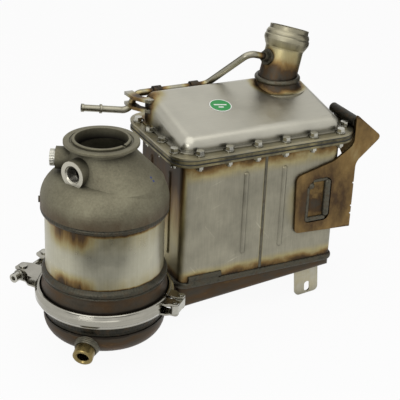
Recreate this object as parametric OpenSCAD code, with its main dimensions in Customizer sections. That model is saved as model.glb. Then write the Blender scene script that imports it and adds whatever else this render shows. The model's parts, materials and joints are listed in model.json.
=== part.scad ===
// Diesel particulate filter unit: a round oxidation catalyst under a cast inlet housing,
// clamped to a collector tray that feeds a box-shaped filter housing with a bolted lid.
// Millimetres, +Z up, origin at the centre of the inlet flange face.
// X runs along the front of the filter box, Y towards its back.

/* [Inlet housing] */
// Bore of the inlet
inlet_bore_d = 56; // [48:1:58]
// Outside diameter of the inlet clamp flange
inlet_flange_d = 80; // [76:1:90]
// Thickness of the inlet flange at its rim
inlet_flange_t = 3; // [2:0.5:5]
// Outside diameter of the raised centring lip
inlet_lip_d = 62; // [60:0.5:66]
// Height of the centring lip above the flange face
inlet_lip_h = 2; // [1:0.5:3]
// Outside diameter of the inlet neck
inlet_neck_d = 65; // [64:1:70]
// Height from the inlet face to the lower edge of the skirt
housing_h = 72; // [68:1:84]
// Height of the straight skirt
skirt_h = 8; // [7:0.5:10]
// Radius of the rounded shoulder above the skirt
shoulder_r = 30; // [26:0.5:32]
// Radius of the flare between neck and shoulder
flare_r = 50; // [46:1:52]
// Shift of the flare away from the neck
flare_shift = 13; // [9:0.5:13]
// Direction of that shift, from +X
flare_turn = -40; // [-50:1:-25]
// Depth of the flare below the inlet face
flare_drop = 41.5; // [38:0.5:44]
// Wall of the casting
cast_wall = 4.3; // [3.5:0.1:5]

/* [Sensor and plug bosses] */
// Outside diameter of the sensor boss
boss_d = 30; // [26:1:34]
// Bore of the sensor boss, M18x1.5 before threading
boss_bore_d = 16.4; // [14:0.1:19]
// Reach of the sensor boss from the inlet axis
boss_reach = 45.5; // [43:0.5:50]
// Direction of the sensor boss, from +X
boss_angle = 207; // [198:1:214]
// Depth of the sensor boss axis below the inlet face
boss_drop = 25; // [22:1:28]
// Outside diameter of the plugged boss
plug_boss_d = 24; // [20:1:26]
// Reach of the plugged boss from the inlet axis
plug_boss_reach = 47.5; // [46:0.5:54]
// Direction of the plugged boss, from +X
plug_angle = 152; // [140:1:160]
// Depth of the plugged boss axis below the inlet face
plug_drop = 22; // [18:1:25]
// Shank diameter of the plug
plug_shank_d = 14; // [10:0.5:16]
// Head diameter of the plug
plug_head_d = 18; // [16:0.5:20]
// Head height of the plug
plug_head_h = 6; // [4:0.5:8]

/* [Catalyst canister] */
// Outside diameter of the canister
can_d = 128; // [124:1:132]
// Sheet of the canister
can_wall = 1.5; // [1:0.1:2]
// Length from the skirt's lower edge to the lower weld
can_len = 72; // [66:1:84]
// Shift of the canister axis from the inlet axis along X
can_dx = 3.5; // [2:0.5:5]
// Shift of the canister axis from the inlet axis along Y
can_dy = -1; // [-3:0.5:2]
// Lap of the canister inside the skirt
can_lap = 6.5; // [4:0.5:6.5]
// Diameter of the catalyst brick
brick_d = 118; // [110:1:119]
// Length of the catalyst brick
brick_len = 52; // [40:1:60]
// Height of the upper fillet weld
upper_weld_h = 8; // [5:0.5:10]
// Height of the lower weld
lower_weld_h = 10; // [7:0.5:12]
// Stand-out of the lower weld from the canister
lower_weld_t = 4.2; // [3.6:0.1:5]

/* [Clamp joint] */
// Length of the flared flange below the lower weld
flare_h = 22; // [20:1:26]
// Radial width of the flared sleeve at its top
flare_t = 3; // [2:0.5:3.5]
// Reach of the flange rims beyond the canister
rim_reach = 8.5; // [8:0.5:10]
// Thickness of each flange rim
rim_t = 3; // [2:0.5:4]
// Thickness of the joint gasket
joint_gasket_t = 1.5; // [1:0.1:2]
// Slope of the rims' clamp faces
rim_slope = 20; // [15:1:25]
// Height of the clamp band
band_h = 16.5; // [15.5:0.5:19]
// Thickness of the clamp band over the rims
band_t = 3; // [2.5:0.1:4]
// Gap between the clamp halves
band_gap = 5; // [3:0.5:8]
// Direction of the clamp's hinge, from +X
hinge_angle = -46.6; // [-56:0.2:-40]
// Direction of the clamp's screw joint, from +X
lug_angle = 123.8; // [114:0.2:134]
// Thickness of the lug plates
lug_t = 2; // [1.5:0.1:3]
// Width of each lug plate at the screw joint
lug_w = 24; // [20:0.5:26]
// Reach of the clamp screw axis outside the band
lug_reach = 20; // [18:0.5:24]
// Distance of the trunnions from the screw joint
trunnion_y = 19.8; // [18:0.2:22]
// Diameter of the trunnions
trunnion_d = 9; // [8:0.5:10]
// Diameter of the clamp screw
clamp_screw_d = 6; // [5:0.5:6]
// Diameter of the clamp screw's head
clamp_head_d = 10.5; // [9:0.5:12]
// Length of the clamp screw's head
clamp_head_h = 9.5; // [8:0.5:14]
// Width of each lug plate at the hinge
hinge_w = 14; // [12:0.5:15]
// Reach of the hinge pins outside the band
hinge_reach = 10.4; // [9.4:0.2:12]
// Distance of the hinge pins from the joint
pin_y = 9.3; // [8.8:0.1:10]
// Diameter of the hinge pins
pin_d = 5; // [4:0.5:6]
// Clearance of the hinge pins in the link
pin_clear = 0.2; // [0.1:0.05:0.4]

/* [Collector tray] */
// Drop from the lower weld to the tray rim
tray_drop = 54; // [52:1:62]
// Outside radius of the bowl under the catalyst
bowl_r = 67; // [66:0.5:71]
// Depth of the bowl below the tray rim
bowl_depth = 27; // [25:1:32]
// Radius of the bowl's lower edge
bowl_edge_r = 22; // [14:1:24]
// Sheet of the tray
tray_wall = 2; // [1.5:0.1:2.5]
// Depth of the tray at the left end of the box
pan_depth_l = 31; // [26:1:34]
// Depth of the tray at the right end of the box
pan_depth_r = 13.5; // [12:0.5:20]
// Radius along the lower edges of the tray
pan_edge_r = 8; // [4:0.5:10]
// Outside diameter of the lower sensor boss
low_boss_d = 22; // [20:0.5:24]
// Bore of the lower sensor boss, M14x1.5 before threading
low_bore_d = 12.4; // [10:0.1:14]
// Reach of the lower sensor boss from the canister axis
low_boss_reach = 81; // [76:1:86]
// Direction of the lower sensor boss, from +X
low_boss_angle = -129; // [-140:1:-115]
// Downward tilt of the lower sensor boss
low_boss_tilt = 17; // [10:1:20]
// Drop of the lower boss axis below the tray rim at the bowl's radius
low_boss_drop = 15; // [13:0.5:17]

/* [Filter box] */
// Distance from the inlet axis to the middle of the box along X
box_x = 199; // [196:1:205]
// Distance from the inlet axis to the middle of the box along Y
box_y = 61; // [56:1:66]
// Width of the box
box_w = 204; // [198:1:210]
// Depth of the box
box_d = 118; // [112:1:124]
// Height of the box from the tray rim to its flange
box_h = 154; // [140:1:170]
// Radius of the box's upright corners
box_r = 10; // [6:1:14]
// Sheet of the box
box_wall = 1.5; // [1:0.1:2]
// Shift of the upright seam from the middle of the box
seam_shift = 2; // [-6:0.5:6]
// Distance of the pressed ribs from the seam
rib_pitch = 24.7; // [18:0.1:34]
// Width of a pressed rib
rib_w = 6.4; // [5:0.1:8]
// Stand-out of a pressed rib
rib_h = 1.8; // [1.2:0.1:2.4]
// Length of a pressed rib
rib_len = 104; // [80:1:116]
// Radius of the weld bead along the foot of the box
foot_bead_r = 4; // [3:0.1:5]
// Width of the lapped patch at the foot of the box
patch_w = 42; // [30:1:50]
// Height of the lapped patch
patch_h = 8; // [6:0.5:10]

/* [Flange stack and cartridge] */
// Reach of the flanges beyond the box
flange_reach = 15; // [14.5:0.5:18]
// Corner radius of the flanges
flange_r = 25; // [18:1:28]
// Thickness of the box flange
box_flange_t = 2.5; // [2:0.1:4]
// Thickness of the lid frame
lid_flange_t = 2.5; // [2:0.1:4]
// Thickness of each flange gasket
gasket_t = 1.5; // [1:0.1:2]
// Thickness of the cartridge flange
cart_flange_t = 3; // [2:0.1:4]
// Set-back of the gaskets and cartridge flange from the flange edge
stack_inset = 0.8; // [0.4:0.1:1.5]
// Gap between the cartridge and the box
cart_gap = 5.5; // [4:0.5:8]
// Sheet of the cartridge
cart_wall = 1.5; // [1:0.1:2]
// Thickness of the cartridge's support mat
mat_t = 5; // [3:0.5:6]
// Length of the filter block
block_h = 120; // [90:1:126]
// Depth of the filter block's top below the cartridge flange
block_drop = 8; // [4:1:12]
// Number of flange screws along the front
screws_x = 6; // [4:1:7]
// Pitch of the flange screws along the front
screw_pitch_x = 36; // [32:1:37]
// Shift of the front and back screw rows from the middle of the box
screw_shift = 3.5; // [-5:0.5:5]
// Number of flange screws along each end
screws_y = 4; // [2:1:4]
// Pitch of the flange screws along each end
screw_pitch_y = 32.5; // [28:0.5:33]
// Distance of the screws from the flange edge
screw_edge = 7.7; // [7.5:0.1:8]
// Diameter of the flange screws
screw_d = 6; // [5:0.5:6]
// Clearance of the screw holes
screw_clear = 0.6; // [0.4:0.1:1]

/* [Lid] */
// Sheet of the lid
lid_wall = 1.5; // [1:0.1:2]
// Height of the lid above its flange at the front
lid_h_front = 17; // [15:0.5:24]
// Height of the lid above its flange at the back
lid_h_back = 34.5; // [28:0.5:44]
// Radius of the lid's upper edges and upright corners
lid_edge_r = 13; // [10:0.5:14]
// Width of the lid's foot on its frame
lid_foot = 5.5; // [4:0.5:7]
// Set-back of the lid's walls from the box walls
lid_inset = 0.5; // [0:0.1:2]
// Diameter of the round sticker
sticker_d = 26; // [18:1:34]
// Shift of the sticker from the middle of the box along X
sticker_dx = -29; // [-58:1:0]
// Shift of the sticker from the middle of the box along Y
sticker_dy = 0; // [-16:1:18]

/* [Outlet] */
// Distance of the outlet collar from the right end of the box
outlet_from_right = 39; // [37:1:56]
// Distance of the outlet collar from the back of the box
outlet_from_back = 27; // [26:1:40]
// Lean of the outlet from upright
outlet_tilt = 17.6; // [10:0.1:22]
// Direction of that lean, from +X
outlet_turn = 23; // [0:1:45]
// Outside diameter of the outlet pipe
outlet_d = 45; // [42:1:47]
// Wall of the outlet pipe
outlet_wall = 1.5; // [1:0.1:2]
// Height of the drawn collar above the lid, at its middle
collar_h = 6.6; // [6:0.1:9]
// Radius of the fillet at the foot of the drawn collar
collar_fillet_r = 10; // [6:0.5:11]
// Minor radius of the weld round the outlet
outlet_weld_r = 3; // [2:0.1:3.5]
// Length of the outlet pipe above the collar
pipe_len = 60; // [54:1:80]
// Outside diameter of the outlet's bead
bead_d = 54; // [51:0.5:58]
// Outside diameter of the outlet's mouth
mouth_d = 46.5; // [44:0.5:49]
// Length of the mouth above the bead
mouth_len = 11; // [8:0.5:14]
// Length of the rounded bead
bead_len = 15; // [12:0.5:18]

/* [Pressure tube] */
// Outside diameter of the pressure tube
tube_d = 8; // [6:0.5:8]
// Bore of the pressure tube
tube_bore_d = 6; // [4:0.5:6]
// Bend radius of the pressure tube
tube_bend_r = 11; // [9:0.5:13]
// Swelling of the tube in its bends
bend_swell = 0.16; // [0.14:0.02:0.3]
// Height of the tube's boss along the outlet axis, above the collar
tube_boss_h = 21; // [19:0.5:23]
// Direction of the tube's boss round the outlet axis, from +X
tube_boss_angle = 188; // [176:1:196]
// Outside diameter of the tube's boss
tube_boss_d = 12; // [11:0.5:15]
// Length of the tube's boss
tube_boss_len = 7; // [5:0.5:10]
// Gap between the tube and the back of the lid
tube_gap = 3; // [2:0.5:6]
// Thickness of the tube clips
clip_t = 2; // [1.5:0.1:3]
// Width of the tube clips
clip_w = 10; // [8:0.5:14]

/* [Mounting bracket] */
// Thickness of the bracket sheet
bracket_t = 3; // [2:0.1:4]
// Distance of the bracket's fold from the box end
fold_reach = 20; // [18.5:0.5:24]
// Width of the bracket plate lying on the box
plate_lap = 62; // [54:1:70]
// Height of the bracket's lower edge above the tray rim
plate_foot = 40; // [30:1:50]
// Height of the bracket's left edge
plate_side_h = 75; // [66:1:84]
// Width of the welded window
window_w = 34; // [28:1:36]
// Height of the welded window
window_h = 56; // [46:1:60]
// Outside diameter of the bracket's tube
bush_d = 12; // [10:0.5:13]
// Bore of the bracket's tube
bush_bore_d = 8.4; // [6:0.1:9]
// Length of the bracket's tube
bush_len = 52; // [46:1:60]
// Height of the bracket's tube axis above the lid flange
bush_rise = 6.5; // [6.5:0.5:12]

/* [Foot tab] */
// Thickness of the foot tab
tab_t = 2.5; // [2:0.1:3]
// Width of the foot tab
tab_w = 32; // [28:1:38]
// Drop of the foot tab below the tray
tab_drop = 35; // [28:1:40]
// Length of the foot tab's welded leg
tab_leg = 26; // [18:1:34]
// Distance of the foot tab from the right end of the box
tab_inset = 12; // [10.5:0.5:40]
// Width of the slot in the foot tab
tab_slot_w = 8; // [6:0.5:9]
// Length of the slot in the foot tab
tab_slot_len = 14; // [10:0.5:16]

/* [Hidden] */
$fn = 64;
far = 400;
over = 1;

// Small sizes of the casting and its plug
shoulder_sweep = 80;
shoulder_steps = 12;
crown_rise = 1;
crown_inset = 8;
flare_top_drop = 6;
flare_slack = 0.3;
flare_slice = 0.5;
flare_sink = 2.5;
flare_foot_turn = 5;
flare_foot_shift = 1.5;
flare_foot_drop = 13.5;
flare_foot_r = flare_r + 5;
flare_wall = cast_wall + 0.4;
edge_chamfer = 0.6;
relief_depth = 0.8;
relief_w = 2;
neck_drop = 7;
bore_drop = 12;
pad_turn = 6;
pad_rise = 4;
pad_d = 7;
pad_h = 1.6;
boss_chamfer = 1.8;
notch_angle = -62;
notch_w = 3.6;
notch_depth = 6;
flute_d = 2;
flute_step = 20;
flute_foot = 1.5;
plug_key_d = 9.2;
plug_key_depth = 3;
plug_end = 4;

// Small sizes of the canister and clamp joint
weld_bow_r = 3.2;
weld_bow_x = 1.2;
weld_bow_sweep = 30;
weld_edge = 0.4;
seam_bow_r = 4;
seam_bow_sweep = 62;
mat_inset = 3;
can_drop = 8;
rim_bevel = 3;
rim_neck = 4;
flare_lip = 2;
flare_bend = 5;
flare_bow = 0.6;
gasket_inset = 1;
gasket_edge = 0.5;
low_rim_lap = 3;
low_rim_edge = 1;
low_rim_h = 3;
band_clear = 0.5;
band_slack = 0.2;
band_grip = 2.3;
band_bevel = 0.8;
band_lip_w = 3.2;
lug_root = 14;
lug_corner_r = 3;
lug_sink = 1.8;
lug_inset = 1.2;
link_wall = 2;
link_slack = 0.4;
pin_proud = 0.8;
trunnion_proud = 1.6;
head_gap = 0.4;
collar_slack = 0.6;
head_flange_w = 1;
head_flange_h = 1.5;
screw_tail = 12;
socket_d = 5.77;
socket_depth = 3;
nut_h = 7;

// Small sizes of the tray and its boss
pan_block_h = 60;
pan_over = 30;
duct_front = 18;
duct_lap_l = 6;
duct_lap_r = 20;
duct_in_front = 10;
duct_in_back = 34;
duct_bowl_in = 7;
duct_lift = 2;
duct_top = 4;
low_shank_d = low_boss_d - 4;
low_shank_in = 14;
low_hole_half = 20;
low_boss_out = low_boss_reach - bowl_r;
low_collar_z = 2.5;
low_chamfer = 1;
low_lead = 1.5;
low_weld_in = 12;
low_weld_foot_d = low_boss_d + 12;
low_weld_top_d = low_boss_d + 2;

// Small sizes of the box, lid and fasteners
rib_level = 0.52;
seam_weld_r = 3.8;
seam_weld_in = 3.3;
seam_weld_box = 5;
bead_sweep = 78;
bead_flat = 0.75;
patch_t = 1.8;
patch_lap = 3;
patch_bead = 0.9;
sleeve_lap = 4;
mat_end = 4;
collar_slack_r = 1.2;
collar_lip = 1.5;
collar_root = 6;
screw_relief = 1.2;
screw_tail_h = 7;
screw_washer_d = 1.8 * screw_d;
screw_washer_h = 0.2 * screw_d;
screw_head_d = 1.54 * screw_d;
screw_head_h = 0.73 * screw_d;
lid_nut_h = 5;
sticker_t = 0.3;
outlet_seam_turn = 70;
weld_seam_turn = 130;

// Small sizes of the pressure tube and its clips
boss_weld_w = 3.5;
boss_weld_len = 2;
tube_end_in = 1;
tube_lead = 21;
tube_drop = 9.5;
tube_turn_in = 15;
tube_turn_out = 4;
tube_kink_out = 12;
tube_kink_y = 0.5;
tube_kink_drop = 20;
tube_tip_out = 66;
tube_tip_y = 13;
tube_tip_drop = 14;
tip_bead_len = 3;
tip_bead_t = 0.8;
stop_bead_at = 24;
stop_bead_len = 2.4;
stop_bead_t = 1.4;
clip_from_left = 18;
clip_from_mid = 36;
clip_foot = 6;
strap_drops = [14, 2];
strap_h = 4;
strap_w = 10;

// Small sizes of the bracket and the foot tab
window_in = 17;
window_up = 13;
window_cut = 10;
plate_skew = 2;
plate_corner_x = 5;
ear_gap = 1.6;
ear_out = 33;
ear_foot = 32;
ear_tip = 4;
ear_rise = 6;
ear_neck = 9;
shoulder_in = 10;
shoulder_drop = 26;
fold_w = 14;
fold_neck = 40;
fold_tip = 8;
fold_lap = 4;
stake_z = [14, 24, 54];
stake_depth = 1.6;
stake_h = 2.4;
stake_len = 9;
bead_l = 2.9;
bead_t = 2.7;
bead_r = 4.4;
bead_b = 3.2;
bead_knob = 4.5;
bead_proud = 2;
tab_corner_r = 6;
slot_shift = 1;
slot_edge = 2;

// Colours as the pieces show them
c_cast = [0.42, 0.41, 0.34];
c_steel = [0.66, 0.65, 0.60];
c_satin = [0.72, 0.72, 0.69];
c_weld = [0.27, 0.27, 0.25];
c_tinted = [0.42, 0.34, 0.22];
c_polished = [0.80, 0.80, 0.78];
c_zinc = [0.78, 0.79, 0.76];
c_brass = [0.62, 0.52, 0.30];
c_gasket = [0.22, 0.22, 0.23];
c_mat = [0.80, 0.77, 0.68];
c_brick = [0.55, 0.50, 0.42];
c_block = [0.33, 0.33, 0.34];
c_green = [0.05, 0.55, 0.28];

// Levels and radii that follow from the sizes above
can_r = can_d / 2;
can_in_r = can_r - can_wall;
dome_r = can_r + cast_wall;
neck_r = inlet_neck_d / 2;
bore_r = inlet_bore_d / 2;
skirt_z = -housing_h;
low_z = skirt_z - can_len;
flare_z = low_z - lower_weld_h;
brick_z = low_z + (can_len - brick_len) / 2;
face_z = flare_z - flare_h;
low_face_z = face_z - joint_gasket_t;
joint_z = (face_z + low_face_z) / 2;
rim_r = can_r + rim_reach;
rim_z = low_z - tray_drop;
low_rim_in = bowl_r - tray_wall - low_rim_lap;
can_end_z = flare_z - can_drop;
band_r = rim_r + band_clear + band_t;
box_top_z = rim_z + box_h;
gasket1_z = box_top_z + box_flange_t;
cart_z = gasket1_z + gasket_t;
gasket2_z = cart_z + cart_flange_t;
lid_z = gasket2_z + gasket_t;
lid_top_z = lid_z + lid_flange_t;
front_y = box_y - box_d / 2;
back_y = box_y + box_d / 2;
left_x = box_x - box_w / 2;
right_x = box_x + box_w / 2;
seam_x = box_x + seam_shift;
outlet_x = right_x - outlet_from_right;
outlet_y = back_y - outlet_from_back;
flange_w = box_w + 2 * flange_reach;
flange_d = box_d + 2 * flange_reach;
cart_w = box_w - 2 * box_wall - 2 * cart_gap;
cart_d = box_d - 2 * box_wall - 2 * cart_gap;
cart_r = box_r + sleeve_lap;
block_w = cart_w - 2 * cart_wall - 2 * mat_t;
block_d = cart_d - 2 * cart_wall - 2 * mat_t;

// Places of the flange screws
screw_rows = [for (i = [0:screws_x - 1]) for (s = [-1, 1])
    [box_x + screw_shift + (i - (screws_x - 1) / 2) * screw_pitch_x,
     box_y + s * (flange_d / 2 - screw_edge)]];
screw_ends = [for (j = [0:screws_y - 1]) for (s = [-1, 1])
    [box_x + s * (flange_w / 2 - screw_edge),
     box_y + (j - (screws_y - 1) / 2) * screw_pitch_y]];
screw_places = concat(screw_rows, screw_ends);

// Slope of the lid's top, from its heights and the run between its rounded edges
lid_w = box_w - 2 * lid_inset;
lid_d = box_d - 2 * lid_inset;
lid_run = lid_d - 2 * lid_edge_r;
lid_slope = atan((lid_h_back - lid_h_front) / lid_run);
lid_front_z = lid_top_z + lid_h_front - lid_edge_r;
lid_back_z = lid_top_z + lid_h_back - lid_edge_r;
lid_y0 = box_y - lid_run / 2;
function lid_plane_z(y) = lid_front_z + (y - lid_y0) * tan(lid_slope) + lid_edge_r / cos(lid_slope);

// Level of the collar's top, where the outlet pipe is welded
ring_z = lid_plane_z(outlet_y) + collar_h;
collar_in_r = outlet_d / 2 / cos(outlet_tilt);
collar_r = collar_in_r + collar_slack_r;

// Slope of the tray's floor under the box
pan_slope = atan((pan_depth_l - pan_depth_r) / box_w);

// Points on an arc, and a polygon whose corners are rounded
function arc(c, r, a0, a1, n = 8) =
    [for (i = [0:n]) c + r * [cos(a0 + (a1 - a0) * i / n), sin(a0 + (a1 - a0) * i / n)]];
function unit(v) = v / norm(v);
function turn(a) = a > 180 ? a - 360 : a < -180 ? a + 360 : a;
function corner(p, q, s, r) =
    let (u = unit(p - q), v = unit(s - q), half = acos(u * v) / 2)
    let (c = q + unit(u + v) * r / sin(half), t = r / tan(half))
    let (a = q + u * t - c, b = q + v * t - c, a0 = atan2(a[1], a[0]))
    arc(c, r, a0, a0 + turn(atan2(b[1], b[0]) - a0), 6);
function rounded(pts, radii) = [for (i = [0:len(pts) - 1])
    each radii[i] > 0
        ? corner(pts[(i + len(pts) - 1) % len(pts)], pts[i], pts[(i + 1) % len(pts)], radii[i])
        : [pts[i]]];

// Places pieces on the canister axis, on a radial axis and on the outlet axis
module on_can() { translate([can_dx, can_dy, 0]) children(); }
module on_ray(angle, z) { translate([0, 0, z]) rotate([0, 90, angle]) children(); }
module on_outlet() {
    translate([outlet_x, outlet_y, ring_z]) rotate([0, outlet_tilt, outlet_turn]) children();
}
module on_lid(x, y) { translate([x, y, lid_plane_z(y)]) rotate([lid_slope, 0, 0]) children(); }
module on_low_boss() {
    translate([can_dx, can_dy, rim_z - low_boss_drop]) rotate([0, 0, low_boss_angle])
        translate([bowl_r, 0, 0]) rotate([0, 90 + low_boss_tilt, 0]) children();
}

// A ring turned about the canister axis
module ring(r_in, r_out, z, h) {
    on_can() translate([0, 0, z]) difference() {
        cylinder(r = r_out, h = h, $fn = 128);
        translate([0, 0, -over]) cylinder(r = r_in, h = h + 2 * over, $fn = 128);
    }
}

// An upright block with round corners, centred on the box
module block(w, d, r, z, h) {
    translate([box_x, box_y, z]) {
        translate([-w / 2 + r, -d / 2, 0]) cube([w - 2 * r, d, h]);
        translate([-w / 2, -d / 2 + r, 0]) cube([w, d - 2 * r, h]);
        for (sx = [-1, 1], sy = [-1, 1])
            translate([sx * (w / 2 - r), sy * (d / 2 - r), 0]) cylinder(r = r, h = h);
    }
}

// Holes for the flange screws through one layer
module screw_holes(z, h) {
    for (p = screw_places) translate([p[0], p[1], z - over])
        cylinder(d = screw_d + screw_clear, h = h + 2 * over);
}

// One flat layer of the flange stack
module layer(inset, z, h, hole_w, hole_d, hole_r) {
    difference() {
        block(flange_w - 2 * inset, flange_d - 2 * inset, flange_r - inset, z, h);
        block(hole_w, hole_d, hole_r, z - over, h + 2 * over);
        screw_holes(z, h);
    }
}

// Inlet housing: flange, neck, flare and shouldered skirt cast in one
module shell_solid(inset, drop) {
    r = dome_r - inset;
    edge_r = shoulder_r - inset;
    foot_z = skirt_z - drop;
    shoulder = arc([r - edge_r, skirt_z + skirt_h], edge_r, 0, shoulder_sweep, shoulder_steps);
    crown = shoulder[shoulder_steps];
    top_z = crown[1] + crown_rise;
    rotate_extrude($fn = 128)
        polygon(concat([[0, foot_z], [r, foot_z]], shoulder, [[crown[0] - crown_inset, top_z], [0, top_z]]));
}

// Flare between the round neck and the shoulder, leaning away from the neck
module flare_solid(inset) {
    z = -flare_drop - (inset > 0 ? flare_sink : 0);
    hull() {
        translate([0, 0, -inlet_flange_t - flare_top_drop])
            cylinder(r = neck_r - flare_slack - inset, h = over, $fn = 64);
        on_can() rotate([0, 0, flare_turn]) translate([flare_shift, 0, z])
            cylinder(r = flare_r - inset, h = flare_slice, $fn = 64);
        on_can() rotate([0, 0, flare_turn + flare_foot_turn])
            translate([flare_shift - flare_foot_shift, 0, z - flare_foot_drop])
            cylinder(r = flare_foot_r - inset, h = flare_slice, $fn = 64);
    }
}

// Flange with its centring lip, relief groove and sloped clamp face
module neck_solid() {
    edge_r = inlet_flange_d / 2;
    lip_r = inlet_lip_d / 2;
    relief_r = lip_r + relief_w;
    under_z = -inlet_flange_t - (edge_r - neck_r) * tan(rim_slope);
    foot_z = under_z - neck_drop;
    rotate_extrude($fn = 128) polygon([
        [0, inlet_lip_h], [lip_r - edge_chamfer, inlet_lip_h], [lip_r, inlet_lip_h - edge_chamfer],
        [lip_r, -relief_depth], [relief_r, -relief_depth], [relief_r + edge_chamfer, 0],
        [edge_r - edge_chamfer, 0], [edge_r, -edge_chamfer], [edge_r, -inlet_flange_t],
        [neck_r, under_z], [neck_r, foot_z], [0, foot_z]]);
}

module inlet_housing() color(c_cast) difference() {
    union() {
        on_can() shell_solid(0, 0);
        neck_solid();
        flare_solid(0);
        on_ray(boss_angle, -boss_drop) cylinder(d = boss_d, h = boss_reach);
        on_ray(plug_angle, -plug_drop) cylinder(d = plug_boss_d, h = plug_boss_reach);
        on_can() on_ray(plug_angle + pad_turn, skirt_z + pad_rise) cylinder(d = pad_d, h = dome_r + pad_h);
    }
    on_can() shell_solid(cast_wall, over);
    flare_solid(flare_wall);
    translate([0, 0, -boss_drop - bore_drop]) cylinder(d = inlet_bore_d, h = far, $fn = 128);
    on_ray(boss_angle, -boss_drop) {
        cylinder(d = boss_bore_d, h = far);
        translate([0, 0, boss_reach - boss_chamfer])
            cylinder(d1 = boss_bore_d, d2 = boss_bore_d + 2 * boss_chamfer, h = boss_chamfer);
    }
    on_ray(plug_angle, -plug_drop) cylinder(d = plug_shank_d, h = far);
    rotate([0, 0, notch_angle]) translate([bore_r - over, -notch_w / 2, 0])
        cube([notch_depth, notch_w, inlet_lip_h + over]);
}

module inlet_plug() color(c_zinc) on_ray(plug_angle, -plug_drop) difference() {
    union() {
        translate([0, 0, neck_r + plug_end])
            cylinder(d = plug_shank_d, h = plug_boss_reach - neck_r - plug_end + over);
        translate([0, 0, plug_boss_reach]) cylinder(d = plug_head_d, h = plug_head_h);
    }
    for (a = [0:flute_step:360 - flute_step]) rotate([0, 0, a])
        translate([plug_head_d / 2 + flute_d / 4, 0, plug_boss_reach + flute_foot])
            cylinder(d = flute_d, h = plug_head_h);
    translate([0, 0, plug_boss_reach + plug_head_h - plug_key_depth])
        cylinder(d = plug_key_d, h = plug_key_depth + over, $fn = 6);
}

// Round catalyst: welds, canister, mat and brick
module upper_weld() color(c_weld) on_can() rotate_extrude($fn = 128)
    polygon(concat([[can_r, skirt_z], [dome_r - weld_edge, skirt_z]],
        arc([can_r + weld_bow_x, skirt_z - weld_bow_r], weld_bow_r, weld_bow_sweep, -weld_bow_sweep, 5),
        [[can_r, skirt_z - upper_weld_h]]));

module catalyst_shell() color(c_steel)
    ring(can_in_r, can_r, can_end_z, skirt_z + can_lap - can_end_z);

module catalyst_mat() color(c_mat)
    ring(brick_d / 2, can_in_r, brick_z + mat_inset, brick_len - 2 * mat_inset);

module catalyst_brick() color(c_brick) on_can()
    translate([0, 0, brick_z]) cylinder(d = brick_d, h = brick_len, $fn = 128);

module lower_weld() color(c_weld) on_can() rotate_extrude($fn = 128)
    polygon(concat([[can_r, flare_z], [can_r + flare_t, flare_z]],
        arc([can_r + lower_weld_t - seam_bow_r, flare_z + lower_weld_h / 2], seam_bow_r,
            -seam_bow_sweep, seam_bow_sweep, 8),
        [[can_r, low_z]]));

// Clamp joint: two rims, a gasket and a two-piece clamp with trunnion screws
module upper_rim_flange() color(c_tinted) on_can() rotate_extrude($fn = 128)
    polygon([[can_r, face_z], [rim_r, face_z], [rim_r, face_z + rim_t],
        [rim_r - rim_bevel, face_z + rim_t + rim_bevel * tan(rim_slope)],
        [rim_r - rim_neck, face_z + flare_h / 2],
        [can_r + flare_t + flare_bow, flare_z - flare_bend], [can_r + flare_t, flare_z - flare_lip],
        [can_r + flare_t, flare_z], [can_r, flare_z]]);

module joint_gasket() color(c_gasket) 
    ring(can_r + gasket_inset, rim_r - gasket_edge, low_face_z, joint_gasket_t);

module lower_rim_flange() color(c_tinted) on_can() rotate_extrude($fn = 128)
    polygon([[can_r, low_face_z], [can_r, rim_z + low_rim_h + flare_lip], [low_rim_in, rim_z + flare_lip],
        [low_rim_in, rim_z], [bowl_r - low_rim_edge, rim_z], [bowl_r - low_rim_edge, rim_z + low_rim_h],
        [can_r + low_rim_lap, rim_z + 2 * low_rim_h], [rim_r - rim_neck, low_face_z - rim_t - rim_neck],
        [rim_r - rim_bevel, low_face_z - rim_t - rim_bevel * tan(rim_slope)], [rim_r, low_face_z - rim_t],
        [rim_r, low_face_z]]);

// Section of the clamp band: a channel over both rims, with rolled edges
module band_section() {
    half = joint_gasket_t / 2 + rim_t;
    groove_r = rim_r + band_clear;
    lip_r = rim_r - band_grip;
    groove_z = half - band_clear * tan(rim_slope) + band_slack;
    lip_z = half + band_grip * tan(rim_slope) + band_slack;
    top = band_h / 2;
    upper = [[groove_r, groove_z], [lip_r, lip_z], [lip_r, top - band_bevel], [lip_r + band_bevel, top],
        [lip_r + band_lip_w - band_bevel, top], [lip_r + band_lip_w, top - band_bevel],
        [lip_r + band_lip_w + band_slack, lip_z + 2 * band_bevel], [band_r - band_bevel, lip_z - band_bevel],
        [band_r, groove_z - band_bevel]];
    polygon(concat(upper, [for (i = [len(upper) - 1:-1:0]) [upper[i][0], -upper[i][1]]]));
}

// Two plates at the end of a clamp half, at a joint that lies along +X
lug_top = band_h / 2 - lug_inset;
lug_gap = 2 * (lug_top - lug_t);
lug_end = 0.82;

module lug_plates(reach, y, w, hole_d) {
    x0 = band_r - lug_root;
    x1 = band_r + reach;
    end_r = hole_d * lug_end;
    side = y > 0 ? 1 : -1;
    y0 = y - side * w / 2;
    y1 = y + side * w / 2;
    for (z = [lug_top - lug_t, -lug_top]) translate([0, 0, z]) difference() {
        linear_extrude(height = lug_t) polygon(rounded(
            [[x0, y0], [x1 - end_r / 2, y0], [x1 + end_r, y - side * end_r], [x1 + end_r, y + side * end_r],
             [x1 - end_r, y + side * end_r], [x1 - 2 * end_r, y1], [x0, y1]],
            [0, lug_corner_r, lug_corner_r, lug_corner_r, 0, 0, 0]));
        translate([0, 0, -over]) cylinder(r = rim_r - lug_sink, h = lug_t + 2 * over, $fn = 128);
        translate([x1, y, -over]) cylinder(d = hole_d, h = lug_t + 2 * over);
    }
}

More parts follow.
